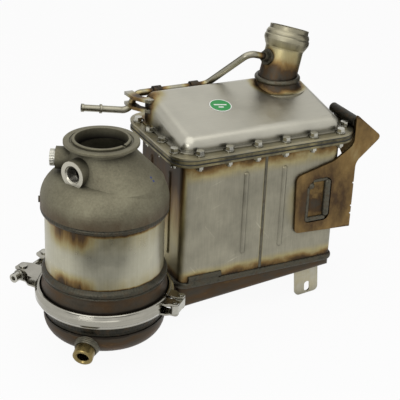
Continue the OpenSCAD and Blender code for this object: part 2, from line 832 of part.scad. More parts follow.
module clamp_half(from, to, side) {
    gap_angle = band_gap / 2 / band_r * 180 / PI;
    on_can() translate([0, 0, joint_z]) {
        rotate([0, 0, from + gap_angle])
            rotate_extrude(angle = to - from - 2 * gap_angle, $fn = 128) band_section();
        rotate([0, 0, lug_angle]) lug_plates(lug_reach, side * trunnion_y, lug_w, trunnion_d);
        rotate([0, 0, hinge_angle]) lug_plates(hinge_reach, -side * pin_y, hinge_w, pin_d);
    }
}

module clamp_half_back() color(c_polished) clamp_half(hinge_angle, lug_angle, -1);
module clamp_half_front() color(c_polished) clamp_half(lug_angle, hinge_angle + 360, 1);

// Places of the screw joint and of the hinge
module at_screw() {
    on_can() translate([0, 0, joint_z]) rotate([0, 0, lug_angle])
        translate([band_r + lug_reach, 0, 0]) children();
}
module at_hinge() {
    on_can() translate([0, 0, joint_z]) rotate([0, 0, hinge_angle])
        translate([band_r + hinge_reach, 0, 0]) children();
}

// Hinge: a link between two pins
module clamp_link() color(c_zinc) at_hinge() difference() {
    link_r = pin_d / 2 + link_wall;
    link_h = lug_gap - link_slack;
    union() {
        for (s = [-1, 1]) translate([0, s * pin_y, -link_h / 2]) cylinder(r = link_r, h = link_h);
        translate([-link_r, -pin_y, -link_h / 2]) cube([2 * link_r, 2 * pin_y, link_h]);
    }
    for (s = [-1, 1]) translate([0, s * pin_y, -band_h]) cylinder(d = pin_d + pin_clear, h = 2 * band_h);
}

module clamp_pins() color(c_zinc) at_hinge() for (s = [-1, 1])
    translate([0, s * pin_y, -lug_top - pin_proud]) cylinder(d = pin_d, h = 2 * (lug_top + pin_proud));

// Screw joint: two trunnions, a socket-head screw and a nut
trunnion_flat = 0.8;
seat_y = trunnion_y + trunnion_d / 2 - trunnion_flat;
head_y = trunnion_y + trunnion_d * lug_end + head_gap;
screw_collar_d = lug_gap - collar_slack;
head_flange_d = clamp_head_d + 2 * head_flange_w;

module clamp_trunnions() color(c_zinc) at_screw()
    for (s = [-1, 1]) translate([0, s * trunnion_y, 0]) difference() {
        translate([0, 0, -lug_top - trunnion_proud])
            cylinder(d = trunnion_d, h = 2 * (lug_top + trunnion_proud));
        rotate([90, 0, 0]) cylinder(d = clamp_screw_d, h = far, center = true);
        translate([0, s * (trunnion_d - trunnion_flat), 0])
            cube([2 * trunnion_d, trunnion_d, lug_gap], center = true);
    }

module clamp_screw() color(c_zinc) at_screw() rotate([-90, 0, 0]) difference() {
    union() {
        translate([0, 0, -head_y - screw_tail])
            cylinder(d = clamp_screw_d, h = 2 * head_y + screw_tail + over);
        translate([0, 0, seat_y]) cylinder(d = screw_collar_d, h = head_y - seat_y + over);
        translate([0, 0, head_y]) cylinder(d = head_flange_d, h = head_flange_h);
        translate([0, 0, head_y + over]) cylinder(d = clamp_head_d, h = clamp_head_h);
    }
    translate([0, 0, head_y + clamp_head_h - socket_depth]) cylinder(d = socket_d, h = far, $fn = 6);
}

module clamp_nut() color(c_zinc) at_screw() rotate([90, 0, 0]) difference() {
    union() {
        translate([0, 0, seat_y]) cylinder(d = screw_collar_d, h = head_y - seat_y + over);
        translate([0, 0, head_y]) cylinder(d = head_flange_d, h = head_flange_h);
        translate([0, 0, head_y + over]) cylinder(d = clamp_head_d, h = nut_h, $fn = 6);
    }
    cylinder(d = clamp_screw_d, h = far);
}

// Collector tray: bowl, duct and pan in one pressing
module bowl_solid(inset) {
    r = bowl_r - inset;
    e = bowl_edge_r - inset;
    floor_z = rim_z - bowl_depth + inset;
    on_can() rotate_extrude($fn = 128) polygon(concat([[0, rim_z], [0, floor_z]],
        arc([r - e, floor_z + e], e, -90, 0, 10), [[r, rim_z]]));
}

// Floor of the pan, sloped along X and rounded along its front and back edges
module pan_solid(inset) {
    long = box_w + 2 * pan_over;
    wide = box_d - 2 * inset;
    r = pan_edge_r - inset / 2;
    intersection() {
        block(box_w - 2 * inset, wide, box_r - inset, rim_z - pan_block_h, pan_block_h);
        translate([left_x, box_y, rim_z - pan_depth_l]) rotate([0, -pan_slope, 0])
            translate([-pan_over, 0, inset]) union() {
                translate([0, -wide / 2 - over, r]) cube([long, wide + 2 * over, pan_block_h]);
                translate([0, -wide / 2 + r, 0]) cube([long, wide - 2 * r, 2 * r]);
                for (s = [-1, 1]) translate([0, s * (wide / 2 - r), r])
                    rotate([0, 90, 0]) cylinder(r = r, h = long);
            }
    }
}

// Duct from the bowl to the pan, under the clamp
module duct_solid(inset) {
    near_y = front_y + duct_in_front + inset;
    far_y = back_y - duct_in_back - inset;
    x0 = left_x - duct_lap_l;
    x1 = left_x + duct_lap_r;
    low = rim_z - bowl_depth + duct_lift;
    translate([0, 0, low + inset]) linear_extrude(height = bowl_depth - duct_lift - duct_top - 2 * inset)
        polygon([[can_dx, can_dy - duct_front + inset], [x0, near_y], [x1, near_y], [x1, far_y], [x0, far_y],
            [can_dx, can_dy + bowl_r - duct_bowl_in - inset]]);
}

module collector_tray() color(c_tinted) difference() {
    union() {
        bowl_solid(0);
        duct_solid(0);
        pan_solid(0);
    }
    bowl_solid(tray_wall);
    duct_solid(tray_wall);
    pan_solid(tray_wall);
    on_low_boss() cylinder(d = low_shank_d, h = 2 * low_hole_half, center = true);
}

module lower_sensor_boss() color(c_brass) difference() {
    on_low_boss() union() {
        translate([0, 0, -low_shank_in]) cylinder(d = low_shank_d, h = low_boss_out + low_weld_in);
        translate([0, 0, low_collar_z])
            cylinder(d = low_boss_d, h = low_boss_out - low_collar_z - low_chamfer);
        translate([0, 0, low_boss_out - low_chamfer])
            cylinder(d1 = low_boss_d, d2 = low_boss_d - 2 * low_chamfer, h = low_chamfer);
    }
    on_low_boss() cylinder(d = low_bore_d, h = far, center = true);
    on_low_boss() translate([0, 0, low_boss_out - low_lead])
        cylinder(d1 = low_bore_d, d2 = low_bore_d + 2 * low_lead, h = low_lead);
}

module lower_boss_weld() color(c_weld) difference() {
    on_low_boss() translate([0, 0, -low_weld_in])
        cylinder(d1 = low_weld_foot_d, d2 = low_weld_top_d, h = low_weld_in + low_collar_z);
    on_low_boss() cylinder(d = low_shank_d, h = far, center = true);
    bowl_solid(0);
    translate([-far, -far, rim_z]) cube([2 * far, 2 * far, bowl_depth]);
}

// Filter box: two pressed halves that meet at upright seams
rib_bow = (rib_w * rib_w / 4 + rib_h * rib_h) / (2 * rib_h);
rib_mid_z = rim_z + box_h * rib_level;

// Pressed ribs on the front, back and left walls
module ribs(shrink) {
    off = rib_bow - rib_h;
    r = rib_bow - shrink;
    half = rib_len / 2 - rib_w / 2;
    walls = [for (s = [-1, 1], y = [front_y + off, back_y - off]) [seam_x + s * rib_pitch, y]];
    ends = [for (s = [-1, 1], x = [left_x + off, right_x - off]) [x, box_y + s * rib_pitch]];
    for (p = concat(walls, ends)) translate([p[0], p[1], rib_mid_z]) {
        translate([0, 0, -half]) cylinder(r = r, h = 2 * half, $fn = 32);
        for (s = [-1, 1]) translate([0, 0, s * half]) sphere(r = r, $fn = 32);
    }
}

module box_shell() {
    difference() {
        union() {
            block(box_w, box_d, box_r, rim_z, box_h + box_flange_t);
            ribs(0);
        }
        block(box_w - 2 * box_wall, box_d - 2 * box_wall, box_r - box_wall, rim_z - over, box_h + far);
        ribs(box_wall);
    }
}

module box_half_left() color(c_steel) intersection() {
    box_shell();
    translate([seam_x - far, -far, -far]) cube([far, 2 * far, 2 * far]);
}

module box_half_right() color(c_steel) intersection() {
    box_shell();
    translate([seam_x, -far, -far]) cube([far, 2 * far, 2 * far]);
}

module box_seam_welds() color(c_weld) {
    h = box_h - foot_bead_r - over;
    for (s = [-1, 1]) translate([seam_x, box_y + s * box_d / 2, rim_z]) intersection() {
        translate([0, -s * seam_weld_in, foot_bead_r + over / 2]) cylinder(r = seam_weld_r, h = h);
        translate([-seam_weld_box, s > 0 ? 0 : -seam_weld_box, 0])
            cube([2 * seam_weld_box, seam_weld_box, box_h]);
    }
}

// Half section of a weld bead, standing on a wall
module half_bead(r) {
    bow = [for (q = arc([0, 0], r, -bead_sweep, bead_sweep, 8)) [q[0] * bead_flat, q[1]]];
    polygon(concat([[0, -r]], bow, [[0, r]]));
}

// A straight bead along X on the front wall
module front_bead(x0, x1, z, r) {
    translate([x1, front_y, z]) rotate([90, 0, -90]) linear_extrude(height = x1 - x0) half_bead(r);
}

// Bead that follows the foot of the box, with a lapped patch at the front left
module bead_loop(r) {
    x = box_w / 2 - box_r;
    y = box_d / 2 - box_r;
    translate([box_x, box_y, rim_z]) for (q = [0:3]) rotate([0, 0, 90 * q]) {
        run = q % 2 == 0 ? y : x;
        out = q % 2 == 0 ? x : y;
        translate([out + box_r, run, 0]) rotate([90, 0, 0]) linear_extrude(height = 2 * run) half_bead(r);
        translate([out, run, 0]) rotate_extrude(angle = 90) translate([box_r, 0]) half_bead(r);
    }
}

module box_foot_weld() color(c_weld) {
    bead_loop(foot_bead_r);
    front_bead(left_x + box_r, left_x + box_r + patch_w, rim_z + patch_h, foot_bead_r * patch_bead);
    translate([left_x + box_r, front_y - patch_t, rim_z]) cube([patch_w - patch_lap, patch_t, patch_h]);
}

// Flange stack, from the box flange up
module box_flange() color(c_satin) layer(0, box_top_z, box_flange_t, box_w, box_d, box_r);

module lower_flange_gasket() color(c_gasket)
    layer(stack_inset, gasket1_z, gasket_t, box_w - 2 * box_wall, box_d - 2 * box_wall, box_r - box_wall);

module upper_flange_gasket() color(c_gasket)
    layer(stack_inset, gasket2_z, gasket_t, box_w - 2 * box_wall, box_d - 2 * box_wall, box_r - box_wall);

// Removable cartridge: flanged sleeve, support mat and filter block
module filter_cartridge() color(c_steel) {
    inner_w = cart_w - 2 * cart_wall;
    inner_d = cart_d - 2 * cart_wall;
    layer(stack_inset, cart_z, cart_flange_t, inner_w, inner_d, cart_r - cart_wall);
    sleeve_h = block_h + block_drop + sleeve_lap;
    difference() {
        block(cart_w, cart_d, cart_r, cart_z - sleeve_h, sleeve_h);
        block(inner_w, inner_d, cart_r - cart_wall, cart_z - sleeve_h - over, sleeve_h + 2 * over);
    }
}

module filter_mat() color(c_mat) difference() {
    z = cart_z - block_drop - block_h + mat_end;
    block(block_w + 2 * mat_t, block_d + 2 * mat_t, cart_r - cart_wall, z, block_h - 2 * mat_end);
    block(block_w, block_d, cart_r - cart_wall - mat_t, z - over, block_h);
}

module filter_block() color(c_block)
    block(block_w, block_d, cart_r - cart_wall - mat_t, cart_z - block_drop - block_h, block_h);

// Lid: a pressed wedge with rounded edges, a narrow foot and a drawn collar
module lid_form(inset, drop) {
    r = lid_edge_r - inset;
    x = lid_w / 2 - lid_edge_r;
    y0 = lid_y0;
    y1 = lid_y0 + lid_run;
    foot = lid_top_z - drop;
    module across(w) {
        translate([box_x - w, 0, 0]) rotate([90, 0, 90]) linear_extrude(height = 2 * w) children();
    }
    intersection() {
        union() {
            across(x + r) polygon([[y0, foot], [y1, foot], [y1, lid_back_z], [y0, lid_front_z]]);
            across(x) {
                polygon([[y0 - r, foot], [y1 + r, foot], [y1 + r, lid_back_z],
                    [y1 - r * sin(lid_slope), lid_back_z + r * cos(lid_slope)],
                    [y0 - r * sin(lid_slope), lid_front_z + r * cos(lid_slope)], [y0 - r, lid_front_z]]);
                translate([y0, lid_front_z]) circle(r = r);
                translate([y1, lid_back_z]) circle(r = r);
            }
            for (s = [-1, 1]) translate([box_x + s * x, y0, lid_front_z]) {
                rotate([lid_slope - 90, 0, 0]) cylinder(r = r, h = lid_run / cos(lid_slope));
                translate([0, 0, foot - lid_front_z]) cylinder(r = r, h = lid_front_z - foot);
                translate([0, lid_run, foot - lid_front_z]) cylinder(r = r, h = lid_back_z - foot);
                sphere(r = r);
                translate([0, lid_run, lid_back_z - lid_front_z]) sphere(r = r);
            }
        }
        translate([box_x - far / 2, box_y - far / 2, foot]) cube(far);
    }
}

// Drawn collar between the lid's top and the outlet pipe, level along its rim
module collar_form() {
    foot_r = collar_r + collar_fillet_r;
    root = -collar_fillet_r - collar_root;
    fillet = arc([foot_r, -collar_lip], collar_fillet_r, 270, 180, 8);
    intersection() {
        translate([outlet_x, outlet_y, ring_z]) rotate_extrude($fn = 96)
            polygon(concat([[0, root], [foot_r, root]], fillet, [[collar_r, 0], [0, 0]]));
        block(lid_w, lid_d, lid_edge_r, lid_top_z, far);
    }
}

module lid() color(c_satin) difference() {
    union() {
        lid_form(0, 0);
        difference() {
            block(lid_w + 2 * lid_foot, lid_d + 2 * lid_foot, lid_edge_r + lid_foot, lid_top_z, lid_wall);
            for (p = screw_places) translate([p[0], p[1], lid_top_z - over])
                cylinder(r = screw_d + screw_relief, h = lid_wall + 2 * over);
        }
        collar_form();
    }
    lid_form(lid_wall, over);
    translate([outlet_x, outlet_y, lid_top_z]) cylinder(r = collar_in_r - outlet_wall, h = far, $fn = 96);
}

module lid_frame() color(c_satin)
    layer(0, lid_z, lid_flange_t, lid_w - 2 * lid_wall, lid_d - 2 * lid_wall, lid_edge_r - lid_wall);

module lid_screws() color(c_zinc) for (p = screw_places) translate([p[0], p[1], 0]) {
    translate([0, 0, box_top_z - screw_tail_h])
        cylinder(d = screw_d, h = lid_top_z - box_top_z + screw_tail_h);
    translate([0, 0, lid_top_z]) cylinder(d = screw_washer_d, h = screw_washer_h);
    translate([0, 0, lid_top_z + screw_washer_h]) cylinder(d = screw_head_d, h = screw_head_h, $fn = 6);
}

module lid_nuts() color(c_zinc) for (p = screw_places)
    translate([p[0], p[1], box_top_z - lid_nut_h]) difference() {
        cylinder(d = screw_head_d, h = lid_nut_h, $fn = 6);
        translate([0, 0, -over]) cylinder(d = screw_d, h = lid_nut_h + 2 * over);
    }

module sticker() color(c_green) on_lid(box_x + sticker_dx, box_y + sticker_dy)
    cylinder(d = sticker_d, h = sticker_t);

// Outlet: beaded pipe on the lid's collar
module pipe_section(inset) {
    r = outlet_d / 2 - inset;
    b = bead_d / 2 - inset;
    m = mouth_d / 2 - inset;
    z0 = -outlet_d / 2;
    z3 = pipe_len;
    z2 = z3 - mouth_len;
    z1 = z2 - bead_len;
    pad = inset > 0 ? over : 0;
    polygon([[0, z0 - pad], [r, z0 - pad], [r, z1 - 1], [r + 0.4, z1 + 1], [r + (b - r) * 0.35, z1 + 3],
        [b - 0.9, z1 + bead_len * 0.5], [b - 0.2, z1 + bead_len * 0.62], [b, z1 + bead_len * 0.75],
        [b - 0.3, z2 - 1.4], [b - 1.3, z2], [b - 1, z2 + 1.2], [b - 1.2, z2 + mouth_len * 0.25],
        [m + (b - m) * 0.4, z2 + mouth_len * 0.45], [m, z2 + mouth_len * 0.6], [m, z3 + pad], [0, z3 + pad]]);
}

module outlet_pipe() color(c_satin) difference() {
    on_outlet() rotate([0, 0, outlet_seam_turn]) difference() {
        rotate_extrude($fn = 96) pipe_section(0);
        rotate_extrude($fn = 96) pipe_section(outlet_wall);
    }
    translate([outlet_x - far / 2, outlet_y - far / 2, ring_z - far]) cube(far);
    on_tube_boss() cylinder(d = tube_bore_d, h = outlet_d);
}

module outlet_weld() color(c_weld) difference() {
    translate([outlet_x, outlet_y, ring_z]) rotate([0, 0, weld_seam_turn]) rotate_extrude($fn = 96)
        translate([collar_r - edge_chamfer, 0]) circle(r = outlet_weld_r, $fn = 32);
    on_outlet() rotate([0, 0, outlet_seam_turn]) cylinder(d = outlet_d, h = far, center = true);
    collar_form();
}

// Pressure tube: from a boss on the outlet, along the back of the lid and out to the left
module on_tube_boss() {
    on_outlet() translate([0, 0, tube_boss_h]) rotate([0, 0, tube_boss_angle - outlet_turn])
        rotate([0, 90, 0]) children();
}

module tube_boss() color(c_weld) difference() {
    on_tube_boss() union() {
        cylinder(d = tube_boss_d + 2 * boss_weld_w, h = outlet_d / 2 + boss_weld_len);
        cylinder(d = tube_boss_d, h = outlet_d / 2 + tube_boss_len);
    }
    on_outlet() cylinder(d = outlet_d, h = far);
    on_tube_boss() cylinder(d = tube_d, h = far);
}

// Outlet axis and boss direction as vectors, for the tube's first points
out_dir = [sin(outlet_tilt) * cos(outlet_turn), sin(outlet_tilt) * sin(outlet_turn), cos(outlet_tilt)];
turned = tube_boss_angle - outlet_turn;
side_x = [cos(outlet_tilt) * cos(outlet_turn), cos(outlet_tilt) * sin(outlet_turn), -sin(outlet_tilt)];
side_y = [-sin(outlet_turn), cos(outlet_turn), 0];
boss_dir = cos(turned) * side_x + sin(turned) * side_y;
boss_root = [outlet_x, outlet_y, ring_z] + tube_boss_h * out_dir;
tube_y = back_y - lid_inset + tube_gap + tube_d / 2;
tube_z = lid_plane_z(back_y) - tube_drop;
tube_route = [
    boss_root + (outlet_d / 2 - tube_end_in) * boss_dir,
    boss_root + (outlet_d / 2 + tube_boss_len + tube_lead) * boss_dir,
    [box_x - tube_turn_in, tube_y, tube_z],
    [left_x - tube_turn_out, tube_y, tube_z],
    [left_x - tube_kink_out, tube_y + tube_kink_y, tube_z - tube_kink_drop],
    [left_x - tube_tip_out, tube_y + tube_tip_y, tube_z - tube_tip_drop]
];

// Straight runs and round bends along a route
function leg(pts, i) = unit(pts[i + 1] - pts[i]);
function bend_angle(pts, i) = acos(leg(pts, i - 1) * leg(pts, i));
function trim(pts, i) = i == 0 || i == len(pts) - 1 ? 0 : tube_bend_r * tan(bend_angle(pts, i) / 2);

module tube_run(pts, d, free) {
    last = len(pts) - 1;
    for (i = [0:last - 1]) {
        v = leg(pts, i);
        before = i == 0 ? free : over;
        after = i == last - 1 ? free : over;
        length = norm(pts[i + 1] - pts[i]) - trim(pts, i) - trim(pts, i + 1);
        translate(pts[i] + (trim(pts, i) - before) * v) rotate([0, acos(v[2]), atan2(v[1], v[0])])
            cylinder(d = d, h = length + before + after);
    }
    for (i = [1:last - 1]) {
        v = leg(pts, i - 1);
        m = unit(leg(pts, i) - (v * leg(pts, i)) * v);
        n = cross(v, m);
        c = pts[i] - trim(pts, i) * v + tube_bend_r * m;
        multmatrix([[-m[0], v[0], n[0], c[0]], [-m[1], v[1], n[1], c[1]], [-m[2], v[2], n[2], c[2]]])
            rotate_extrude(angle = bend_angle(pts, i)) translate([tube_bend_r, 0]) circle(d = d + bend_swell);
    }
}

// Rolled beads near the tube's free end, where a hose is clamped
module tube_beads() {
    last = len(tube_route) - 1;
    v = leg(tube_route, last - 1);
    for (b = [[tip_bead_len, tip_bead_t, tip_bead_len], [stop_bead_at, stop_bead_t, stop_bead_len]])
        translate(tube_route[last] - b[0] * v) rotate([0, acos(v[2]), atan2(v[1], v[0])])
            cylinder(d = tube_d + 2 * b[1], h = b[2]);
}

module pressure_tube() color(c_satin) difference() {
    union() {
        tube_run(tube_route, tube_d, 0);
        tube_beads();
    }
    tube_run(tube_route, tube_bore_d, over);
    on_outlet() cylinder(d = outlet_d, h = far);
}

// Clips that hold the tube to the back of the lid
module tube_clips() color(c_tinted) {
    wall_y = back_y - lid_inset;
    for (x = [left_x + clip_from_left, box_x - clip_from_mid])
        translate([x + clip_w, 0, 0]) rotate([90, 0, -90]) linear_extrude(height = clip_w) difference() {
            union() {
                translate([-wall_y - clip_t, lid_top_z + clip_foot])
                    square([clip_t, tube_z - lid_top_z - clip_foot]);
                translate([-tube_y, tube_z - tube_d / 2 - clip_t]) square([tube_y - wall_y, 2 * clip_t]);
                translate([-tube_y, tube_z]) circle(d = tube_d + 2 * clip_t, $fn = 48);
            }
            translate([-tube_y, tube_z]) circle(d = tube_d, $fn = 48);
            translate([-wall_y, lid_top_z]) square(lid_h_back);
        }
}

// Two straps that tie the tube to the left wall of the lid
module tube_strap() color(c_tinted) difference() {
    wall_x = left_x + lid_inset;
    corner_y = back_y - lid_inset - lid_edge_r;
    end_x = wall_x - 0.6 * strap_w;
    end_y = tube_y + 0.6 * strap_w;
    for (drop = strap_drops) translate([0, 0, tube_z - drop]) linear_extrude(height = strap_h)
        polygon([[wall_x + strap_w, corner_y - 1.2 * strap_w], [wall_x + strap_w, corner_y - over],
            [wall_x, corner_y - over], [wall_x - strap_h, corner_y + strap_w / 2], [end_x, end_y], [end_x - strap_w, end_y],
            [wall_x - 1.4 * strap_w, corner_y + 0.6 * strap_w],
            [wall_x - strap_w / 2, corner_y - 0.8 * strap_w], [wall_x, corner_y - 1.2 * strap_w]]);
    tube_run(tube_route, tube_d, 0);
    lid_form(0, 0);
}

// Mounting bracket: a plate on the box front, folded at its right edge, with an ear and a tube
fold_x = right_x + fold_reach;
plate_l = right_x - plate_lap;
plate_z0 = rim_z + plate_foot;
plate_z1 = plate_z0 + plate_side_h;
bush_x = fold_x - bracket_t / 2;
bush_z = lid_top_z + bush_rise;
window_x = plate_l + window_in;
window_z = plate_z0 + window_up;
ear_x = fold_x - bracket_t - ear_gap;
plate_low_z = plate_z0 - plate_skew;

module plate_outline() {
    pts = [[plate_l + plate_corner_x, plate_z0 + plate_skew], [fold_x, plate_low_z],
        [fold_x, box_top_z - ear_foot], [fold_x + ear_out, box_top_z - ear_tip],
        [ear_x + plate_skew, bush_z + 1.5 * ear_rise], [ear_x, bush_z + ear_rise],
        [ear_x, box_top_z - ear_neck], [right_x - shoulder_in, box_top_z - shoulder_drop],
        [plate_l + plate_skew, plate_z1]];
    polygon(rounded(pts, [6, 0, 14, 5, 1, 3, 12, 20, 9]));
}

module window_outline() {
    translate([window_x, window_z]) polygon(rounded(
        [[0, 0], [window_w, 0], [window_w, window_h], [window_cut, window_h], [over, window_h - window_cut]],
        [6, 8, 9, 7, 7]));
}

module bracket_plate() color(c_tinted) difference() {
    y0 = front_y - bracket_t;
    y1 = front_y + bush_len - fold_lap;
    union() {
        translate([0, front_y, 0]) rotate([90, 0, 0]) linear_extrude(height = bracket_t) difference() {
            plate_outline();
            window_outline();
        }
        translate([fold_x - bracket_t, 0, 0]) rotate([90, 0, 90]) linear_extrude(height = bracket_t)
            polygon(rounded([[y0, plate_low_z], [front_y + fold_w, plate_low_z],
                [front_y + fold_w, box_top_z - fold_neck], [y1, box_top_z - fold_tip],
                [y1, bush_z], [y0, bush_z]], [0, 4, 10, 8, 0, 0]));
    }
    translate([bush_x, front_y, bush_z]) rotate([-90, 0, 0]) cylinder(d = bush_d, h = far);
    for (z = stake_z) translate([fold_x - stake_depth, y0 - over, plate_z0 + z])
        cube([2 * stake_depth, stake_len, stake_h]);
}

module bracket_weld() color(c_weld) {
    right = window_w - bead_r;
    top = window_h - bead_t;
    translate([window_x, front_y, window_z]) intersection() {
        union() {
            weld_rod([bead_l, 0, bead_b], [bead_l, 0, top - window_cut], bead_l);
            weld_rod([window_cut, 0, top], [right - bead_t, 0, top], bead_t);
            weld_rod([right, 0, 2 * bead_r], [right, 0, top - bead_r], bead_r);
            weld_rod([bead_r, 0, bead_b], [right - bead_t, 0, bead_b], bead_b);
            translate([1.5 * bead_r, 0, window_h - 2 * bead_r]) sphere(r = bead_knob, $fn = 32);
        }
        rotate([90, 0, 0]) linear_extrude(height = bracket_t + bead_proud)
            translate([-window_x, -window_z]) window_outline();
    }
}

// A round-ended rod between two points
module weld_rod(p, q, r) {
    v = unit(q - p);
    translate(p) rotate([0, acos(v[2]), atan2(v[1], v[0])]) cylinder(r = r, h = norm(q - p), $fn = 32);
    translate(p) sphere(r = r, $fn = 32);
    translate(q) sphere(r = r, $fn = 32);
}

module bracket_tube() color(c_weld) translate([bush_x, front_y, bush_z]) rotate([-90, 0, 0]) difference() {
    cylinder(d = bush_d, h = bush_len);
    translate([0, 0, -over]) cylinder(d = bush_bore_d, h = bush_len + 2 * over);
}

// Foot tab: a bent strip welded under the tray
module foot_tab() color(c_satin)
    translate([left_x, front_y, rim_z - pan_depth_l]) rotate([0, -pan_slope, 0])
        translate([box_w - tab_inset - tab_w / 2, pan_edge_r, 0]) difference() {
            union() {
                translate([-tab_w / 2, 0, -tab_t]) cube([tab_w, tab_leg, tab_t]);
                rotate([90, 0, 0]) translate([0, 0, -tab_t]) linear_extrude(height = tab_t)
                    polygon(rounded([[-tab_w / 2, 0], [-tab_w / 2, -tab_drop], [tab_w / 2, -tab_drop],
                        [tab_w / 2, 0]], [0, tab_corner_r, tab_corner_r, 0]));
            }
            slot_z = tab_slot_len / 2 + slot_edge - tab_drop;
            rotate([90, 0, 0]) translate([slot_shift, slot_z, -tab_t - over]) {
                for (s = [-1, 1]) translate([0, s * (tab_slot_len - tab_slot_w) / 2, 0])
                    cylinder(d = tab_slot_w, h = tab_t + 2 * over);
                translate([-tab_slot_w / 2, -(tab_slot_len - tab_slot_w) / 2, 0])
                    cube([tab_slot_w, tab_slot_len - tab_slot_w, tab_t + 2 * over]);
            }
        }

inlet_housing();
inlet_plug();
upper_weld();
catalyst_shell();
catalyst_mat();
catalyst_brick();
lower_weld();
upper_rim_flange();
joint_gasket();
lower_rim_flange();
clamp_half_front();
clamp_half_back();
clamp_link();
clamp_pins();
clamp_trunnions();
clamp_screw();
clamp_nut();
collector_tray();
lower_sensor_boss();
lower_boss_weld();
box_half_left();
box_half_right();
box_seam_welds();
box_foot_weld();
box_flange();
lower_flange_gasket();
filter_cartridge();
filter_mat();
filter_block();
upper_flange_gasket();
lid_frame();
lid();
lid_screws();
lid_nuts();
outlet_pipe();
outlet_weld();
tube_boss();
pressure_tube();
tube_clips();
tube_strap();
bracket_plate();
bracket_weld();
bracket_tube();
foot_tab();
sticker();
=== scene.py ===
"""Dresses a diesel particulate filter unit in its real finishes and sets a plain studio stage.

The solids keep their place and shape: this file gives each of them its material.
Patterns are sized in millimetres and fixed to the part.
"""

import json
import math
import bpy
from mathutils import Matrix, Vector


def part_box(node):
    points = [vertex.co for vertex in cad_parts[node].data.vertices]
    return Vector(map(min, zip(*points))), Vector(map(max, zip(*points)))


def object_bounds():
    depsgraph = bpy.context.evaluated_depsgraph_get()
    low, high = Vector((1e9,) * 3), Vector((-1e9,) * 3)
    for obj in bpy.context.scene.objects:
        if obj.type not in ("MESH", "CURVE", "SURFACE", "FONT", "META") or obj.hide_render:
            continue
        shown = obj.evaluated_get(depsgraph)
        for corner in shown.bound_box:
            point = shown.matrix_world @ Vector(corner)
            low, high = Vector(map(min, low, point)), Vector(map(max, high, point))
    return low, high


bl_info = {
    "name": "Diesel particulate filter finishes",
    "version": (1, 0, 0),
    "blender": (4, 5, 0),
    "location": "3D View > Sidebar > Filter unit",
    "description": "Cast, stainless and welded finishes for a diesel particulate filter unit",
    "category": "Material",
}

import bpy
from mathutils import Matrix, Vector

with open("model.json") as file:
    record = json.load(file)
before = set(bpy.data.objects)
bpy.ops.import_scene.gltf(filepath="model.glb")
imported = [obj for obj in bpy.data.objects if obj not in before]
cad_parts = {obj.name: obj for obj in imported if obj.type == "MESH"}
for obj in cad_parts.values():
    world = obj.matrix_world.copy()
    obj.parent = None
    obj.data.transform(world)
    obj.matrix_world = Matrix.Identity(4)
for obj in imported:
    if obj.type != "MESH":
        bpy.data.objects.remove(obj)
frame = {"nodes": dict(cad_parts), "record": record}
CAD_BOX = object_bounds()
MM = 1000.0


def linear(code):
    """An sRGB hex colour as linear red, green, blue and alpha."""
    parts = [int(code[i:i + 2], 16) / 255 for i in (0, 2, 4)]
    return tuple(c / 12.92 if c <= 0.04045 else ((c + 0.055) / 1.055) ** 2.4 for c in parts) + (1.0,)


def low(node):
    """Lowest corner of a solid, in millimetres."""
    return Vector(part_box(node)[0]) * MM


def high(node):
    """Highest corner of a solid, in millimetres."""
    return Vector(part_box(node)[1]) * MM


def middle(node):
    """Middle of a solid's box, in millimetres."""
    return (low(node) + high(node)) / 2


def mount(name):
    """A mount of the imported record."""
    return next(m for m in frame["record"]["mounts"] if m["name"] == name)


# Places on the part that the finishes follow, read from the solids
CAN_AXIS = middle("catalyst_shell")
CAN_TOP = low("upper_weld").z
CAN_FOOT = high("lower_weld").z
CAN_RADIUS = (high("catalyst_shell").x - low("catalyst_shell").x) / 2
BOX_LOW = low("box_half_left")
BOX_HIGH = Vector((high("box_half_right").x, high("box_half_right").y, low("box_flange").z))
SEAM_X = high("box_half_left").x
LID_FOOT = low("lid").z
OUTLET_ROOT = Vector((middle("outlet_weld").x, middle("outlet_weld").y, low("outlet_pipe").z))
OUTLET_AXIS = Vector(mount("outlet")["axis"])
BORE_RADIUS = mount("inlet")["dims"]["r_mm"]
SENSOR = mount("upper_sensor")

# Lengths and places below are in millimetres, in the part's frame
# Cut face of the upper sensor boss: its distance from the inlet's axis, depth and radius
SENSOR_REACH = 45.5
SENSOR_SKIN = 0.5
SENSOR_BOSS = 14.6
# Wall of the boss's threaded hole with its chamfer, where it starts, and the pitch of the thread
THREAD_WALL = SENSOR["dims"]["r_mm"] + 1.7
THREAD_START = 26.0
THREAD_PITCH = 1.5
# Inspection dots on the casting and their radius
PAINT_DOTS = [(37.9, -41.6, -31.5), (39.6, -44.2, -34.6)]
DOT_RADIUS = 1.9
# Reading direction of the label, its rim, and each bar's place above the middle and half length
LABEL_ACROSS = Vector((0.970, -0.242, 0))
LABEL_UP = Vector((0.242, 0.970, 0))
LABEL_RIM = 1.1
LABEL_BARS = ((1.4, 7.5), (-3.6, 3.0))
BAR_HALF_HEIGHT = 1.1
# Heights between which soot and painted shade deepen down the bore, and the width of its edge
SOOT_SHADE_START = 1.0
SOOT_SHADE_FULL = -9.0
SOOT_SHADE_EDGE = 0.6
# Depths under the flange between which the left wall of the box darkens upward, with heat tint and painted
# shade
WALL_TINT_SHADE_START = 110
WALL_TINT_SHADE_FULL = 20
# Heights between which a trace of tint grows on clean sheet
TRACE_LOW = -300
TRACE_HIGH = 100
# Tinted spots on the lid: its rear left corner and behind the tube's clip
LID_CORNER = Vector((BOX_LOW.x, BOX_HIGH.y - 12, LID_FOOT + 20))
LID_CLIP = Vector((SEAM_X - 30, BOX_HIGH.y, LID_FOOT + 24))
# The two directions of scratches, in radians, and how they are drawn out
SCRATCH_ANGLES = (0.35, -0.9)
SCRATCH_STRETCH = (0.035, 0.3, 1.0)
# Angle round the canister where its tint is strongest
HOT_SIDE = math.radians(213)
